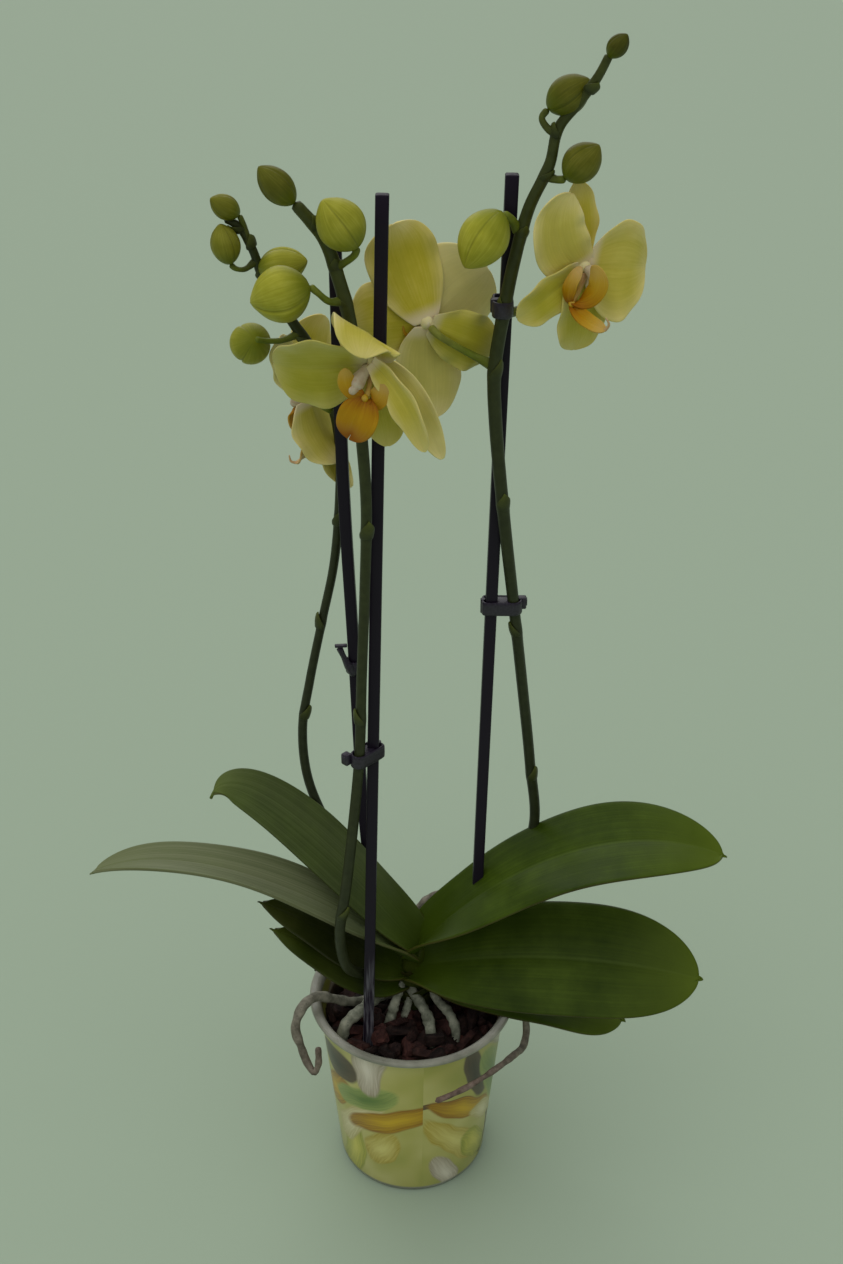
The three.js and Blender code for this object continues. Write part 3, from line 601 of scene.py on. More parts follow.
# Living leaf: a waxy cuticle over dark green flesh, satin, with faint lengthwise veins and
# cloudy mottling. The midrib and the foot are yellower, the rim is thin and red brown.
leaf_skin, add, shader = material("waxy living leaf", IOR=1.42, Specular_IOR_Level=0.3)
uv = add("UVMap")
place = add("TexCoord")
u, v, _ = add("SeparateXYZ", {"Vector": uv})
off = add("Math", {0: v, 1: 0.5}, operation="SUBTRACT")
off = add("Math", {0: off}, operation="ABSOLUTE")
vein_space = add("Mapping", {"Vector": uv, "Scale": (1.2, 40, 1)})
veins = add("TexNoise", {"Vector": vein_space, "Scale": 1, "Detail": 3})
cloud = add("TexNoise", {"Vector": place, "Scale": 28, "Detail": 5, "Roughness": 0.6})
pore = add("TexNoise", {"Vector": place, "Scale": 700, "Detail": 2})
both = add("Mix", {"Factor": 0.3, "A": cloud, "B": veins}, data_type="FLOAT")
tone = add("ValToRGB", {"Fac": both}, stops=((0.34, "#263606"), (0.5, "#334408"), (0.66, "#425510")))
# Towards its tip each blade turns lighter and yellower: partly its own yellower tip, partly painted light
# where the tips face the lamps.
for value, low, high, most, code in (
        (off, 0.022, 0.006, 0.15, "#5a6b34"), (u, 0.55, 1.0, 0.7, "#596a12"),
        (u, 0.20, 0.0, 1.0, "#36460a"), (off, 0.488, 0.498, 0.5, "#4a3a20")):
    tone = laid_over(tone, code, value, low, high, most)
# Above nought the leaf is mixed towards a dull dark brown, partly its own colour and partly painted shade
# for leaves that lie under others.
old = add("Attribute")
dry = add("ValToRGB", {"Fac": cloud}, stops=((0.35, "#17160b"), (0.5, "#24220f"), (0.7, "#35301a")))
tone = laid_over(tone, dry, old)
# Below nought a grey-green sheen is painted on the leaf, stronger along its veins: a painted reflection.
bloomy = add("MapRange", {"Value": old, "From Min": 0.0, "From Max": -1.0})
bloomy = add("Math", {0: bloomy, 1: veins, 2: 0.1}, operation="MULTIPLY_ADD", use_clamp=True)
tone = laid_over(tone, "#757a5c", bloomy, 0.1, 0.55)
gloss = add("MapRange", {"Value": cloud, "From Min": 0.3, "From Max": 0.7, "To Min": 0.36, "To Max": 0.52})
level = add("Mix", {"Factor": 0.35, "A": veins, "B": pore}, data_type="FLOAT")
relief = add("Bump", {"Height": level, "Strength": 0.25, "Distance": 0.0004})
wire(shader, Base_Color=tone, Roughness=gloss, Normal=relief)

# Each leaf: its rib as a four point curve and its half width in millimetres, the way its
# blade lies across, how it folds and cups, where its outline is widest and how it ends, and
# its age: above nought it is darkened to a dull brown, partly its own colour and partly
# painted shade where it lies under other leaves, and below nought a grey sheen is painted on it.
leaves = {
    "leaf_right_under": dict(
        rib=[[9, 12, 112], [45, 4, 132], [85, -4, 128], [122, -12, 108]], across=[0.05, 0.98, 0.2],
        half=26, fold=0.1, cup=-0.1, neck=0.4, wide=0.6, blunt=2.8),
    "leaf_left_low": dict(
        rib=[[-3, 8, 120], [-30, -8, 143], [-52, -14, 164], [-76, -18, 180]], across=[-0.2, -0.9, -0.35],
        half=16, fold=-0.15, cup=0, neck=0.5, wide=0.3, blunt=1.9, point=0.75, age=0.5),
    "leaf_left_mid": dict(
        rib=[[-3, 5, 128], [-32, -8, 160], [-58, -12, 184], [-82, -14, 196]], across=[-0.1, -0.95, -0.3],
        half=16, fold=-0.1, cup=0, neck=0.5, wide=0.35, blunt=1.9, point=0.75, age=0.7),
    "leaf_right_lower": dict(
        rib=[[0, 4, 133], [48, -14, 162], [105, -24, 168], [160, -28, 154]], across=[0.05, 0.84, 0.55],
        half=33, fold=0.12, cup=-0.08, neck=0.42, wide=0.58, blunt=2.4, age=0.1),
    "leaf_left_long": dict(
        rib=[[-3, 6, 140], [-50, -12, 204], [-122, -22, 248], [-170, -24, 226]],
        across=[-0.1, -0.99, 0.05], half=17.5, fold=0.3, cup=0, neck=0.7, wide=0.35, blunt=1.7,
        clasp=1.2, age=-0.62),
    "leaf_right_upper": dict(
        rib=[[0, 5, 143], [46, -4, 214], [112, -8, 252], [169, -12, 228]], across=[0.1, 0.95, 0.28],
        half=28, fold=0.14, cup=-0.05, neck=0.42, wide=0.52, blunt=2.2),
    "leaf_left_upper": dict(
        rib=[[6, 6, 146], [-25, 2, 204], [-92, 6, 286], [-107, 0, 260]], across=[-0.35, -0.75, -0.56],
        half=16.5, fold=-0.3, cup=0, neck=0.85, wide=0.42, blunt=2.0, point=0.8, age=-0.2),
}
for name, leaf in leaves.items():
    blade = leaf_blade(name + "_blade", leaf)
    blade.data.materials.append(leaf_skin)
    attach(blade, "root")
    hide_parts(name)
crown.data.materials.append(leaf_skin)


# ---- Stakes ----
# Three square rods of extruded black polystyrene with softly rounded edges, sawn off flat
# and pushed down to the bottom of the bark. The front one is scuffed grey near its foot.

STAKE_HALF = 0.0030
STAKE_EDGE = 0.0004

rod_skin, add, shader = material(
    "extruded black polystyrene", Roughness=0.4, IOR=1.55, Specular_IOR_Level=0.15)
place = add("TexCoord")
height = add("SeparateXYZ", {"Vector": place})[2]
own = add("Attribute")
low = add("MapRange", {"Value": height, "From Min": 0.170, "From Max": 0.145})
drag = add("Mapping", {"Vector": place, "Scale": (1300, 1300, 70)})
scuff = add("TexNoise", {"Vector": drag, "Scale": 1, "Detail": 5})
worn = add("MapRange", {"Value": scuff, "From Min": 0.42, "From Max": 0.68})
worn = add("Math", {0: worn, 1: low}, operation="MULTIPLY")
worn = add("Math", {0: worn, 1: own}, operation="MULTIPLY")
tone = add("Mix", {"Factor": worn, "A": "#1e1824", "B": "#66656c"})
relief = add("Bump", {"Height": scuff, "Strength": 0.3, "Distance": 0.0002})
wire(shader, Base_Color=tone, Normal=relief)


def sawn_rod(name, path, wear, rows=40):
    """A square rod along a path: two extra rows at each end make the flat sawn face."""
    line = points_along(path, rows)

    def place(u, v):
        row = round(u * (rows + 4))
        near = min(row, rows + 4 - row)
        at = min(max(row - 2, 0), rows)
        way = (line[min(at + 1, rows)] - line[max(at - 1, 0)]).normalized()
        side = (Vector((1, 0, 0)) - way * way.x).normalized()
        turn = v * tau
        corner = STAKE_HALF / (abs(cos(turn)) ** 9 + abs(sin(turn)) ** 9) ** (1 / 9)
        out = side * cos(turn) + way.cross(side) * sin(turn)
        inset = STAKE_EDGE if near == 2 else 0.0
        reach = out * (corner * (0, 0.87, 1)[min(near, 2)])
        return line[at] + reach + way * (inset if row == 2 else -inset)
    return closed(grown(name, rows + 4, 40, place, lambda u, v: wear))


stakes = {
    "stake_front": [[-28, -23, 8], [-19.4, -20, 296], [-11, -17, 583.5]],
    "stake_right": [[34.2, 16, 8], [39.5, 8, 298], [44.8, 0, 588]],
    "stake_back": [
        [-10, 34, 8], [-21.5, 31, 140], [-27, 24, 230], [-30, 16, 347], [-32.5, 8, 446],
        [-32.5, -4, 563]],
}
for name, path in stakes.items():
    rod = sawn_rod(name + "_rod", path, 1.0 if name == "stake_front" else 0.25)
    rod.data.materials.append(rod_skin)
    bpy.ops.object.shade_smooth_by_angle(angle=radians(50))
    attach(rod, "root")
    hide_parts(name)


# ---- Spikes ----
# Three jointed flower stems, dark olive and waxy, from between the leaves to the tips.
# Each joint has a clasping scale, and each bud or bloom hangs on a paler stalk.

# Stem skin: smooth and waxy with faint specks. The stalks are fresh yellow green, and
# those of the open blooms fade to a pinkish cream.
stem_skin, add, shader = material("waxy living stem", Roughness=0.42, IOR=1.42, Specular_IOR_Level=0.35)
place = add("TexCoord")
speck = add("TexNoise", {"Vector": place, "Scale": 260, "Detail": 4})
own = add("Attribute")
tone = add("ValToRGB", {"Fac": own}, stops=(
    (0.0, "#22251a"), (0.3, "#343a1e"), (0.5, "#4a5020"), (0.7, "#67731f"), (0.85, "#86883a"),
    (1.0, "#a3937a")))
shade = add("MapRange", {"Value": speck, "From Min": 0.3, "From Max": 0.7, "To Min": 0.78, "To Max": 1.15})
tone = add("Mix", {"Factor": 1.0, "A": tone, "B": shade}, blend_type="MULTIPLY")
relief = add("Bump", {"Height": speck, "Strength": 0.12, "Distance": 0.0002})
wire(shader, Base_Color=tone, Normal=relief)

# Each spike: its path, its radii, its stalks with the shade at their ends, its joints by
# height, and the shade of the stem from its foot to its tip.
spikes = {
    "spike_right": dict(
        path=[[8, 12, 142], [34, 20, 158], [58, 23, 182], [69, 22, 222], [65, 19, 268], [58.5, 13, 323],
              [52.5, 6, 371], [45, -3, 430], [40, -5, 477], [39, -5.5, 501], [42.5, -6, 529],
              [46.5, -6, 552], [52, -7, 575], [60, -9, 594], [63, -10, 609], [71, -13, 620],
              [78, -16, 631], [82, -18, 640]],
        radii=[3.2, 3.1, 3, 2.9, 2.9, 2.9, 2.9, 3, 3.1, 3.2, 3.1, 2.8, 2.3, 1.8],
        stalks=[([[39, -5, 503], [30, 0, 506], [20, -1, 512], [12.5, -4, 518], [9.4, -0.8, 520.6]],
                 [3.0, 1.8, 1.5, 1.5, 2], 0.55, 0.84),
                ([[42.6, -6, 528], [51, 1, 528], [63, 4, 536], [75, -1, 548.6]], [2.6, 1.8, 1.6, 2], 0.5,
                 0.85),
                ([[48, -5, 564], [45, -9, 570], [40.5, -12, 574]], [2.6, 2.0, 2.1], 0.6, 0.72),
                ([[59, -8, 589], [63, -10, 588], [67, -12, 588.5]], [2.4, 1.7, 1.8], 0.45, 0.6),
                ([[62.5, -10, 607], [58.5, -10, 609], [56, -9, 613], [58.5, -8, 616.5]],
                 [2.4, 1.6, 1.4, 1.6], 0.4, 0.55)],
        joints=[259, 357, 433, 500, 528, 564, 590, 607, 627], shade=(0.12, 0.42)),
    "spike_middle": dict(
        path=[[-1, 10, 118], [-10, 4, 126], [-21, -7, 139], [-30, -18, 149], [-35.5, -24, 158],
              [-38.3, -27, 171], [-39, -30, 190], [-35, -31, 219], [-30, -30, 262], [-26, -27.5, 304],
              [-24, -28, 349], [-21.5, -28, 400], [-20, -28, 445], [-22, -27, 485], [-25, -26, 527],
              [-30, -26.5, 550], [-36, -28, 568], [-47.5, -31, 583.5]],
        radii=[3, 3, 3, 2.9, 2.8, 2.7, 2.6, 2.6, 2.7, 2.9, 3.0, 2.6],
        stalks=[([[-22.5, -26, 495], [-18, -24, 503], [-13.5, -27, 510], [-13, -33, 514]],
                 [2.4, 1.6, 1.5, 2], 0.5, 0.95),
                ([[-31, -26.5, 555], [-26, -30, 558.5], [-22.5, -32.5, 562], [-21.5, -34, 565.5]],
                 [2.4, 1.6, 1.5, 1.8], 0.5, 0.72),
                ([[-28, -26, 540], [-34, -30, 541], [-39, -33, 546], [-42, -34, 549]],
                 [2.4, 1.6, 1.4, 1.7], 0.55, 0.75)],
        joints=[203, 325, 430, 495, 540, 556, 574], shade=(0.16, 0.42)),
    "spike_left": dict(
        path=[[-2, 16, 138], [-18, 22, 164], [-36, 23, 198], [-49, 22, 227], [-57.5, 22, 256],
              [-59, 22, 288], [-54, 22, 318], [-46, 21, 356], [-39, 19, 389], [-35, 17.5, 425],
              [-34, 16, 455], [-37, 13, 480], [-43, 9, 502], [-52, 6, 518], [-60, 4, 532], [-66, 2, 544],
              [-69.5, 0, 556], [-75, -1, 566], [-81, -2, 569.5]],
        radii=[2.9, 2.9, 2.8, 2.7, 2.6, 2.5, 2.4, 2.3, 2.3, 2.4, 2.5, 2.6, 2.5, 2.2, 1.6],
        stalks=[([[-36, 14, 474], [-40, 10, 477], [-44, 11, 480], [-46, 13, 481]], [2.4, 1.6, 1.5, 2],
                 0.5, 0.95),
                ([[-50, 6.5, 515], [-58, 2, 513], [-65, -2, 514], [-70, -6, 516]], [2.2, 1.4, 1.3, 1.6],
                 0.5, 0.7),
                ([[-66, 2, 544], [-67, 1, 546]], [2.2, 1.8], 0.5, 0.7),
                ([[-68, 1, 550], [-73, -2, 547], [-77, -4, 548], [-79, -4, 550]], [2.1, 1.3, 1.1, 1.4],
                 0.4, 0.6),
                ([[-71, -0.5, 558], [-72, -1, 565], [-74, -2, 571]], [2.0, 1.3, 1.3], 0.4, 0.55)],
        joints=[297, 354, 414, 474, 514, 545, 559, 566], shade=(0.1, 0.3)),
}
ROWS = 320
for name, spike in spikes.items():
    line = points_along(spike["path"], ROWS)
    joints = [min(range(40, ROWS), key=lambda i: abs(line[i].z * 1000 - z)) for z in spike["joints"]]

    def jointed(u, turn, joints=joints):
        return 1 + sum(0.08 * exp(-((u * ROWS - j) / 2.2) ** 2) for j in joints)

    def greener(u, v, shade=spike["shade"]):
        return shade[0] + (shade[1] - shade[0]) * u ** 2
    parts = [round_cord(name, spike["path"], spike["radii"], 18, ROWS, jointed, greener)]
    for path, radii, first, last in spike["stalks"]:
        def paler(u, v, first=first, last=last):
            return first + (last - first) * min(1, u * 1.3)
        parts.append(round_cord("stalk", path, radii, 14, 30, None, paler))
    for order, j in enumerate(joints):
        way = (line[j + 1] - line[j - 1]).normalized()
        out = (Vector((0, -1, 0)) - way * -way.y).normalized()
        out = Quaternion(way, (0.9, -1.1, 0.4)[order % 3]) @ out
        small = 1.0 if order < len(joints) - 4 else 0.62

        def scale_place(u, v, foot=line[j], way=way, out=out, small=small):
            turn = (v - 0.5) * 3.6 * (1 - u ** 1.5)
            radius = (3.0 + 0.6 * sin(u * pi) + 0.3 * u) * (0.66 + 0.34 * small)
            return foot + (way * (u * 10 * small - 2.4) + (Quaternion(way, turn) @ out) * radius) * 0.001
        parts.append(thickened(grown("scale", 10, 10, scale_place, lambda u, v: 0.25 + 0.3 * u), 0.0005))
    stem = join_all(parts, name + "_stem")
    stem.data.materials.append(stem_skin)
    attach(stem, "root")
    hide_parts(name)


# ---- Clips ----
# Four small hinged collars of black moulded nylon that hold a spike to its stake. Each is a
# long band, square about the rod and round about the stem, with a hinge barrel at one end
# and a latch at the other. The one on the back rod hangs open.

CLIP_TALL = 0.0074
CLIP_WALL = 0.0014
CLIP_HALF = 0.0034
HINGE_RADIUS = 0.0012

nylon, add, shader = material("moulded black nylon", Roughness=0.42, IOR=1.53)
place = add("TexCoord")
spark = add("TexNoise", {"Vector": place, "Scale": 900, "Detail": 2})
tone = add("ValToRGB", {"Fac": spark}, stops=((0.3, "#1f1926"), (0.7, "#2f2937")))
relief = add("Bump", {"Height": spark, "Strength": 0.25, "Distance": 0.0002})
wire(shader, Base_Color=tone, Normal=relief)


def squarish(u, turn):
    """How much farther a softly square section reaches than a round one."""
    return 1 / (abs(cos(turn)) ** 5 + abs(sin(turn)) ** 5) ** 0.2


def band_about(rod, stem, radius):
    """A band with softened edges, square about the rod at one end and round at the other."""
    way = (stem - rod).normalized()
    side = Vector((-way.y, way.x, 0))

    def spot(u, v):
        corner = v * tau
        square = squarish(u, corner)
        out = CLIP_WALL / 2 * (1 + cos(corner) * square)
        turn = (u - 0.5) * tau
        c, s = cos(turn), sin(turn)
        if c > 0:
            middle, reach = stem, radius + out
        else:
            middle, reach = rod, (CLIP_HALF + out) * squarish(u, turn)
        rise = Vector((0, 0, CLIP_TALL / 2 * sin(corner) * square))
        return middle + (way * c + side * s) * reach + rise
    return closed(grown("band", 64, 16, spot))


def block_at(place, size, turn=0.0, bevel=0.0004):
    """A small moulded block with rounded edges."""
    bpy.ops.mesh.primitive_cube_add(size=1)
    block = bpy.context.object
    shaped = Matrix.Rotation(turn, 4, "Z") @ Matrix.Diagonal((*size, 1))
    block.data.transform(Matrix.Translation(place) @ shaped)
    soft = block.modifiers.new("soft", "BEVEL")
    soft.width = bevel
    soft.segments = 2
    bpy.ops.object.modifier_apply(modifier=soft.name)
    bpy.ops.object.shade_smooth_by_angle(angle=radians(35))
    return block


# Each clip: its height, where its rod and its stem stand there in millimetres, the radius
# of the stem, and how far its latch stands from the stem, onward and across. The open one
# has no latch but a jaw, by the middle line of its arm.
clips = {
    "clip_right_low": dict(z=372.5, rod=(40.8, 6.1), stem=(52.0, 5.8), radius=3.1, latch=(4.6, 2.2)),
    "clip_right_top": dict(z=530, rod=(42.2, 1.6), stem=(42.0, -5.2), radius=3.3, latch=(-2.0, -3.4)),
    "clip_middle": dict(z=301.5, rod=(-19.2, -19.9), stem=(-26.3, -27.6), radius=2.8, latch=(4.9, -4.0)),
    "clip_back": dict(
        z=331, rod=(-28.8, 17.0), stem=(-29.6, 16.8), radius=3.2,
        jaw=[[-30.0, 12.4, 326.6], [-32.2, 12.2, 332.2], [-35.0, 12, 339.0], [-37.4, 12, 345]]),
}
for name, clip in clips.items():
    rod = Vector((*clip["rod"], clip["z"])) * 0.001
    stem = Vector((*clip["stem"], clip["z"])) * 0.001
    radius = clip["radius"] * 0.001
    run = stem - rod
    turn = atan2(run.y, run.x)
    way = run.normalized()
    side = Vector((-way.y, way.x, 0))
    parts = [band_about(rod, stem, radius + 0.0002)]
    hinge = rod - way * (CLIP_HALF + 0.0008)
    bpy.ops.mesh.primitive_cylinder_add(
        vertices=20, radius=HINGE_RADIUS, depth=CLIP_TALL * 1.05, location=hinge)
    bpy.ops.object.transform_apply(location=True, rotation=True, scale=True)
    bpy.ops.object.shade_smooth_by_angle(angle=radians(35))
    parts.append(bpy.context.object)
    if "latch" in clip:
        web = run.length - CLIP_HALF - radius
        middle = rod + way * (CLIP_HALF + web / 2)
        parts.append(block_at(middle, (web + 0.003, 0.0066, CLIP_TALL * 0.96), turn))
        onward, across = clip["latch"]
        catch = stem + (way * onward + side * across + Vector((0, 0, 1.0))) * 0.001
        parts.append(block_at(catch, (0.0042, 0.0044, CLIP_TALL * 0.86), turn, 0.0008))
        parts.append(block_at(catch + Vector((0, 0, 0.0004)), (0.0050, 0.0030, CLIP_TALL * 0.5), turn))
    else:
        parts.append(round_cord("arm", clip["jaw"], [1.3, 1.9, 1.2, 1.5], 16, 16, squarish))
        tip = Vector(clip["jaw"][-1]) * 0.001
        parts.append(block_at(tip + Vector((0.0012, 0, 0.0005)), (0.0064, 0.0026, 0.0013), 0.1))
    collar = join_all(parts, name + "_collar")
    collar.data.materials.append(nylon)
    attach(collar, "root")
    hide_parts(name)


# ---- Buds ----
# Eleven closed buds. Three fleshy outer sepals overlap along creased seams and close in
# a small beak: big ones yellow green, the young ones at the tips darker and duller.

bud_skin, add, shader = material(
    "waxy bud sepal", Roughness=0.45, IOR=1.42, Specular_IOR_Level=0.3, Subsurface_Weight=0.12,
    Subsurface_Radius=(0.004, 0.003, 0.001))
uv = add("UVMap")
place = add("TexCoord")
u, v, _ = add("SeparateXYZ", {"Vector": uv})
streak_space = add("Mapping", {"Vector": uv, "Scale": (1.6, 64, 1)})
streaks = add("TexNoise", {"Vector": streak_space, "Scale": 1, "Detail": 3})
cloud = add("TexNoise", {"Vector": place, "Scale": 120, "Detail": 3})
both = add("Mix", {"Factor": 0.55, "A": cloud, "B": streaks}, data_type="FLOAT")
ripe = add("ValToRGB", {"Fac": both}, stops=((0.3, "#8d8c1e"), (0.5, "#a2a030"), (0.7, "#b6b146")))
young = add("ValToRGB", {"Fac": both}, stops=((0.32, "#373908"), (0.5, "#46470c"), (0.68, "#595a18")))
own = add("Attribute")
tone = add("Mix", {"Factor": own, "A": ripe, "B": young})
tone = laid_over(tone, "#586608", u, 0.45, 0.05, 0.65)
# Along the creased seams between the sepals the colour is darkened: painted shade in the creases.
sepal = add("Math", {0: v, 1: 3.0}, operation="MULTIPLY")
sepal = add("Math", {0: sepal, 1: 0.5}, operation="PINGPONG")
tone = laid_over(tone, "#4a4f12", sepal, 0.03, 0.0, 0.4)
relief = add("Bump", {"Height": streaks, "Strength": 0.1, "Distance": 0.0004})
wire(shader, Base_Color=tone, Normal=relief)

# Each bud: where it sits on its stalk and its tip and radius, its turn, how young it is.
buds = {
    "bud_right_low": ([40, -12.5, 575], [24.5, -17, 552], 10.6, 0.5, 0.0),
    "bud_right_mid": ([67, -12, 588.5], [80, -14, 603], 7.8, 1.2, 0.8),
    "bud_right_high": ([58.5, -8, 616.5], [75, -10, 628.5], 7.8, 0.2, 0.85),
    "bud_right_tip": ([81.5, -18, 638.5], [88, -21, 647.5], 4.1, 0.9, 1.0),
    "bud_middle_near": ([-42, -34, 549], [-67, -38, 543], 11.8, 1.7, 0.05),
    "bud_middle_right": ([-21.5, -34, 565.5], [-35, -38, 586], 10.0, 0.3, 0.2),
    "bud_middle_tip": ([-47.5, -31, 583], [-61, -34, 598.5], 6.4, 1.0, 0.85),
    "bud_left_back": ([-67, 1, 546], [-45, -3, 551], 7.8, 0.6, 0.2),
    "bud_left_low": ([-70, -6, 516], [-76, 12, 506], 9.2, 0.0, 0.15),
    "bud_left_mid": ([-79, -4, 550], [-82, -6, 568], 6.4, 0.7, 0.55),
    "bud_left_high": ([-74, -2, 571], [-85.5, -6, 579], 5.2, 1.4, 0.7),
}
for name, (base, tip, radius, turned_by, age) in buds.items():
    foot, point = Vector(base) * 0.001, Vector(tip) * 0.001
    axis = point - foot
    way = axis.normalized()
    side = Quaternion(way, turned_by) @ (Vector((0, -1, 0)) - way * -way.y).normalized()
    cross = way.cross(side)

    def bud_place(u, v, foot=foot, axis=axis, side=side, cross=cross, radius=radius):
        turn = v * tau
        share = (v * 3) % 1.0
        near = min(share, 1 - share)
        body = sin(pi * u ** 0.92) ** 0.62 if 0 < u < 1 else 0.0
        body *= 1 - 0.22 * max(0, (u - 0.8) / 0.2) ** 1.5
        crease = 1 - (0.02 + 0.04 * u) * exp(-(near / 0.04) ** 2)
        lap = 1 + 0.045 * (share - 0.5) + 0.03 * sin(pi * share)
        width = radius * 0.00101 * body * crease * lap
        return foot + axis * (u * 1.02 - 0.01) + (side * cos(turn) + cross * sin(turn)) * width
    bud = closed(grown(name + "_sepals", 40, 72, bud_place, lambda u, v, a=age: a))
    bud.data.materials.append(bud_skin)
    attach(bud, "root")
    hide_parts(name)


# ---- Blooms ----
# Four open blooms: three sepals behind two broad petals, pale yellow green and velvety,
# with faint fanned veins and thin rippled edges. Each has an orange lip and white column.

# Petal: velvety and a little see-through, olive yellow inside, cream at its edges and foot.
petal_skin, add, shader = material(
    "velvety petal", Roughness=0.55, IOR=1.4, Subsurface_Weight=0.2, Subsurface_Radius=(0.004, 0.003, 0.001),
    Sheen_Weight=0.12)
uv = add("UVMap")
place = add("TexCoord")
u, v, _ = add("SeparateXYZ", {"Vector": uv})
off = add("Math", {0: v, 1: 0.5}, operation="SUBTRACT")
off = add("Math", {0: off}, operation="ABSOLUTE")
vein_space = add("Mapping", {"Vector": uv, "Scale": (1.4, 30, 1)})
veins = add("TexNoise", {"Vector": vein_space, "Scale": 1, "Detail": 3})
cloud = add("TexNoise", {"Vector": place, "Scale": 55, "Detail": 4})
both = add("Mix", {"Factor": 0.35, "A": cloud, "B": veins}, data_type="FLOAT")
middle = add("ValToRGB", {"Fac": both}, stops=((0.34, "#b5a71e"), (0.5, "#c3b432"), (0.66, "#d2c24e")))
edge = add("ValToRGB", {"Fac": both}, stops=((0.34, "#d0c268"), (0.5, "#dccc7e"), (0.66, "#e8d99a")))
smooth = {"interpolation_type": "SMOOTHSTEP"}
outer = add("MapRange", {"Value": off, "From Min": 0.22, "From Max": 0.56}, **smooth)
far = add("MapRange", {"Value": u, "From Min": 0.5}, **smooth)
reach = add("Math", {0: outer, 1: far}, operation="MAXIMUM")
tone = add("Mix", {"Factor": reach, "A": middle, "B": edge})
tone = laid_over(tone, "#e0cfa8", u, 0.12, 0.02, **smooth)
own = add("Attribute")
# Each petal's own value mixes it paler above nought and greener and darker below: partly its own colour,
# partly painted light and shade.
tone = laid_over(tone, "#efe6c0", own)
tone = laid_over(tone, "#8b9212", own, 0.0, -1.0, 0.7)
relief = add("Bump", {"Height": veins, "Strength": 0.3, "Distance": 0.0004})
wire(shader, Base_Color=tone, Normal=relief)

# Lip: waxy orange yellow with red brown streaks at its hinge, pinkish cream at its ends.
lip_skin, add, shader = material(
    "waxy orange lip", Roughness=0.42, IOR=1.42, Specular_IOR_Level=0.3, Subsurface_Weight=0.15,
    Subsurface_Radius=(0.004, 0.002, 0.001))
uv = add("UVMap")
u = add("SeparateXYZ", {"Vector": uv})[0]
stripe_space = add("Mapping", {"Vector": uv, "Scale": (1.2, 14, 1)})
stripes = add("TexNoise", {"Vector": stripe_space, "Scale": 1, "Detail": 3})
wobble = add("Math", {0: stripes, 1: 0.45, 2: u}, operation="MULTIPLY_ADD")
own = add("Attribute")
tone = add("ValToRGB", {"Fac": wobble}, stops=(
    (0.12, "#6a2e04"), (0.3, "#8f5504"), (0.5, "#a87806"), (0.8, "#ba930e"), (1.0, "#bf9c3c")))
tone = laid_over(tone, "#8a5208", own, 0.0, -0.45)
tone = laid_over(tone, "#c8a880", own)
relief = add("Bump", {"Height": stripes, "Strength": 0.3, "Distance": 0.0005})
wire(shader, Base_Color=tone, Normal=relief)

# Column: waxy white with a pink blush.
column_skin, add, shader = material(
    "waxy white column", Roughness=0.4, IOR=1.42, Subsurface_Weight=0.15,
    Subsurface_Radius=(0.004, 0.002, 0.002))
place = add("TexCoord")
blush = add("TexNoise", {"Vector": place, "Scale": 260, "Detail": 3})
tone = add("ValToRGB", {"Fac": blush}, stops=((0.35, "#b9a488"), (0.65, "#cdbfa9")))
wire(shader, Base_Color=tone)
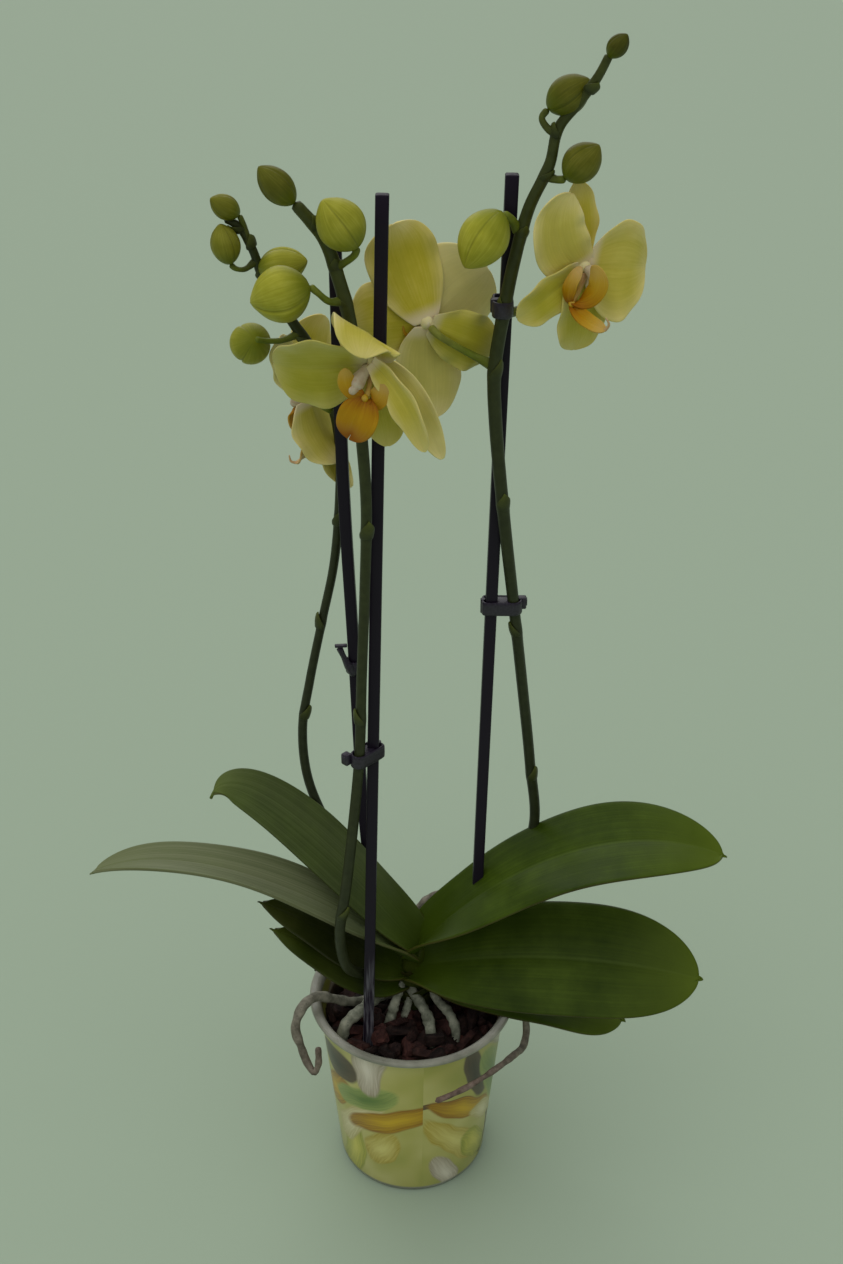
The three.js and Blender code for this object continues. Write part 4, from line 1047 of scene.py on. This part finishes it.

# Each bloom, in millimetres: its middle, the way it faces and the length of its column. Its
# petals have a tip or a whole rib from the middle, a half width, a bow and a layer, and are
# paler above nought and greener and darker below, partly their own colour and partly painted
# light and shade. Its lip has three blades, each with a rib, a way across, a half width and a
# fade to pink above nought and to rust below, and a thin curl.
SEPAL, PETAL = -0.8, 1.2
PETAL_FORM = dict(neck=0.34, wide=0.55, blunt=2.1, point=0.55, bow=4, layer=SEPAL)
blooms = {
    "flower_right": dict(
        centre=[77.7, -6, 549.6], facing=[0.45, -0.85, -0.1], column=12,
        petals=[
            dict(tip=[-5, 2, 36.5], half=8.5, bow=1, wide=0.5, layer=-3, pale=-0.1),
            dict(rib=[[0, 0, 0], [-9, -5, 8], [-13, -9, 22], [-8, -8, 33.5]], across=[-1, -0.3, -0.15],
                 half=13, lean=0.3, wide=0.42, neck=0.6, pale=0.1),
            dict(tip=[28, 10, -3], across=[0.02, 0, 1], half=23, wide=0.45, blunt=1.7, point=0.65,
                 layer=PETAL, pale=0.06),
            dict(tip=[-30, -12, -20], half=10, bow=2, wide=0.6, pale=-0.3),
            dict(tip=[-3, 2, -39], half=12.5, bow=2, wide=0.5, blunt=3.2, pale=-0.45)],
        lip=[([[-6.2, -9, -14.4], [-9.6, -11, -10], [-7.6, -12, -3], [-2.6, -10, 2.5]], [0.8, -0.5, 0.1],
              3.4, 0.6),
             ([[-6.2, -9, -14.4], [2, -13, -12], [8, -15, -6], [2, -13, 4]], [0.75, -0.45, 0.3], 4.8,
              0.2),
             ([[-6.2, -9, -14.4], [-3.8, -13, -17.2], [1.6, -18, -21], [8.2, -22.5, -22]],
              [0.55, 0.5, 0.65], 3.6, 0.3)],
        curl=[[7.6, -22, -22.4], [9.2, -23.5, -19], [7.4, -24, -15.6]]),
    "flower_back": dict(
        centre=[8.1, 3, 520.8], facing=[-0.3, 0.95, 0], column=13,
        petals=[
            dict(tip=[-15, 0, 45], half=17.5, wide=0.6),
            dict(tip=[28, 14, 21], half=23, bow=5, layer=PETAL, pale=0.38),
            dict(tip=[-35, -8, 0], half=19, bow=5, layer=PETAL),
            dict(tip=[31, 8, -16], half=14, bow=-3, wide=0.62, layer=-2.5, pale=-0.5, wave=0.0022),
            dict(tip=[3, 4, -48], half=17, pale=0.2)],
        lip=[([[-2.4, 5.5, -6], [-8.1, 5.8, -9], [-13.5, 6.2, -4], [-11.7, 8.9, 4.5]], [-0.3, 0.95, 0],
              6, 0.6),
             ([[-1.2, 5.9, -6], [3.3, 9.4, -9], [7.5, 12.8, -4], [4.5, 14, 4.5]], [-0.3, 0.95, 0], 6,
              0.6),
             ([[-1.5, 4.8, -5.8], [-3.6, 11.4, -9], [-5.4, 17.2, -16], [-4.8, 15.2, -27]],
              [0.95, 0.3, 0], 9, 0.5)],
        curl=[[-4.8, 15.2, -26], [-7.5, 14, -30], [-9, 17, -30]]),
    "flower_front": dict(
        centre=[-15.9, -37, 516], facing=[-0.6, -0.69, -0.41],
        petals=[
            dict(rib=[[0, 0, 0], [-1, -1, 12], [-2, -13, 26], [-3, -23, 10]], across=[-0.84, 0.1, 0.54],
                 half=17, wide=0.5, neck=0.5, cup=0.02, pale=-0.15),
            dict(tip=[-43, 3, -1], half=21.5, bow=5, wide=0.48, blunt=1.8, layer=PETAL, pale=-0.5),
            dict(rib=[[0, -4, 2], [8, -9, -5], [16, -12, -14], [23, -9, -38]], across=[0.8, -0.35, 0.48],
                 half=7, wide=0.62, neck=0.5, cup=0.3, pale=0.05),
            dict(rib=[[0, 0, 0], [10, 1, -5], [20, 1, -20], [31, 2, -46]], across=[0.85, 0.1, 0.4],
                 half=8, wide=0.5, neck=0.5, cup=0.2, pale=0.2),
            dict(rib=[[0, 1, -1], [2, 4, -15], [6, 9, -29], [6, 10, -43]], across=[0.95, 0.2, 0.1],
                 half=9.5, wide=0.6, neck=0.5, pale=-0.4)],
        lip=[([[-3.5, -9, -12], [-7, -10, -11], [-12.5, -11, -6.5], [-10.6, -9.5, 0.8]],
              [0.87, 0.25, 0.44], 4.2, 0.1),
             ([[-1.5, -9, -13.6], [0.5, -9, -16.5], [4, -9, -13], [4.4, -7.5, -7]], [0.8, -0.3, -0.5],
              4.8, 0.35),
             ([[-2.5, -9, -12.8], [-4.2, -12, -15.3], [-6.5, -13, -23.2], [-10.6, -12, -30.6]],
              [0.92, -0.2, -0.34], 9.2, -0.55)]),
    "flower_left": dict(
        centre=[-48.8, 14, 481], facing=[-0.75, 0.6, -0.2], column=9,
        petals=[
            dict(tip=[8, 16, 35], half=14),
            dict(tip=[-11, -8, 32], half=9.5, bow=3, wide=0.5, layer=PETAL, pale=0.2),
            dict(tip=[21, 26, 9], half=18, layer=PETAL),
            dict(tip=[15, -5, -31], half=15, wide=0.45, neck=0.5, pale=0.05),
            dict(tip=[20, 8, -50], half=8, bow=3, wide=0.6, pale=-0.1)],
        lip=[([[-3, 5, -6], [-9, 8, -7.5], [-10, 7.5, -15], [-4.6, 6, -20]], [0.5, 0.6, 0.6], 3.4, 0.7),
             ([[-2, 6, -4], [0, 12, -6], [-4, 16, -5], [-9, 17, 2]], [-0.75, 0.6, -0.2], 5.5, 0.5),
             ([[-2, 5, -8], [1, 4, -20], [0, 1, -30], [-7, 0, -34]], [0.5, 0.7, 0.3], 5, 0.9)],
        curl=[[-6, 0, -33.8], [-9, 0, -33], [-9.8, 0, -29.6]]),
}


def petal_blade(name, rib, across, form, nu, nv, tint):
    """One petal or lip lobe: a thin cupped blade with a rippled edge."""
    def place(k, v):
        u, s, point, way, side, up = along_blade(rib, across, k, v)
        half = form["half"] * 0.001 * max(half_width(form, u), 0.03)
        beat = u * 15 + s * 2.2 + form["half"] * 1.7 + len(name)
        ripple = form.get("wave", 0.0012) * sin(beat) * abs(s) ** 3 * sin(u * 2.9)
        crease = -0.0005 * exp(-(s / 0.1) ** 2) * (1 - u)
        fold, cup = form.get("fold", 0.05), form.get("cup", 0.12)
        lift = fold * abs(s) * half + cup * s * s * half + ripple + crease
        reach = sqrt(max(0.1, 1 - (fold + cup * abs(s)) ** 2 * 0.6))
        notch = form.get("notch", 0.0) * 0.001 * u ** 4 * exp(-(s / 0.3) ** 2)
        return point + side * ((s + form.get("lean", 0.0)) * half * reach) + up * lift - way * notch
    return thickened(grown(name, nu, nv, place, tint), form.get("thick", 0.0008))


for name, bloom in blooms.items():
    centre = Vector(bloom["centre"])
    front = Vector(bloom["facing"]).normalized()
    top = (Vector((0, 0, 1)) - front * front.z).normalized()
    right = top.cross(front)

    def at(r, u, n, centre=centre, right=right, top=top, front=front):
        return list(centre + right * r + top * u + front * n)

    heart = [at(0, 0, -3), at(0, 0, 0), at(0, 0, 2.6)]
    whorl = [round_cord(name + "_heart", heart, [2.4, 3.4, 2.8], 16, 12, None, lambda u, v: 0.6)]
    for i, petal in enumerate(bloom["petals"]):
        form = dict(PETAL_FORM, **petal)
        if "tip" in petal:
            tip, layer, bow = Vector(petal["tip"]), form["layer"], form["bow"]
            steps = ((0.02, layer), (0.36, layer + bow), (0.72, bow * 1.2), (1, 0))
            rib = [tip * k + front * n for k, n in steps]
            across = petal.get("across") or front.cross(tip)
        else:
            rib = [Vector(p) for p in petal["rib"]]
            across = petal["across"]

        def one_shade(u, v, pale=petal.get("pale", 0)):
            return pale
        label = f"{name}_petal_{i}"
        whorl.append(petal_blade(label, [centre + p for p in rib], across, form, 34, 22, one_shade))
    lobes = []
    for i, (rib, across, half, fade) in enumerate(bloom["lip"]):
        broad = i == 2
        form = dict(half=half, fold=0.12 if broad else 0, cup=0 if broad else 0.25, neck=0.35, wide=0.56,
                    blunt=2.6, wave=0.0005, thick=0.0010, notch=3.0 if half > 8 else 0)

        def fading(u, v, fade=fade):
            return fade * max(0, u - 0.35) * 1.5
        rib = [centre + Vector(p) for p in rib]
        lobes.append(petal_blade(f"lobe_{i}", rib, across, form, 24, 14, fading))
    if "curl" in bloom:
        line = [centre + Vector(p) for p in bloom["curl"]]
        lobes.append(round_cord("curl", line, [0.9, 0.6, 0.3], 8, 18, None, lambda u, v: 0.9))
    hinge = Vector(bloom["lip"][2][0][0]) + centre
    line = [at(0, -2, 1.5), (hinge + Vector(at(0, -5, 2))) / 2, hinge]
    lobes.append(round_cord("claw", line, [1.3, 1.2, 1.2, 1.4], 12, 12, None, lambda u, v: 0.7 - 0.6 * u))
    knob = front * 2 + top * 1.5
    line = [hinge - knob * 0.3, hinge + knob * 0.4, hinge + knob]
    lobes.append(round_cord("callus", line, [1.4, 1.9, 1.0], 12, 12, None, lambda u, v: 0.0))
    far = bloom.get("column", 15)
    line = [at(0, -n, far * k) for k, n in ((0.3, 0.5), (0.55, 1), (0.8, 2), (1, 3.6))]
    pillar = [round_cord("pillar", [at(0, 0, 1.6)] + line, [2.0, 2.4, 2.8, 3.4, 3.6, 2.6], 18, 26)]
    line = [at(0, -1.8, far - 2.5), at(0, -3.2, far), at(0, -5.2, far + 0.8)]
    pillar.append(round_cord("anther_cap", line, [1.6, 2.6, 1.8], 14, 14))
    for parts, label, skin, slot in ((whorl, "petals", petal_skin, "petal_yellow"),
                                     (lobes, "lip", lip_skin, "lip_orange"),
                                     (pillar, "column", column_skin, "column_white")):
        piece = join_all(parts, f"{name}_{label}_skin")
        piece.data.materials.append(skin)
        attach(piece, "root")
        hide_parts(f"{name}_{label}")

size = {"cad": [list(v) for v in cad_box], "visual": [list(v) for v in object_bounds()]}
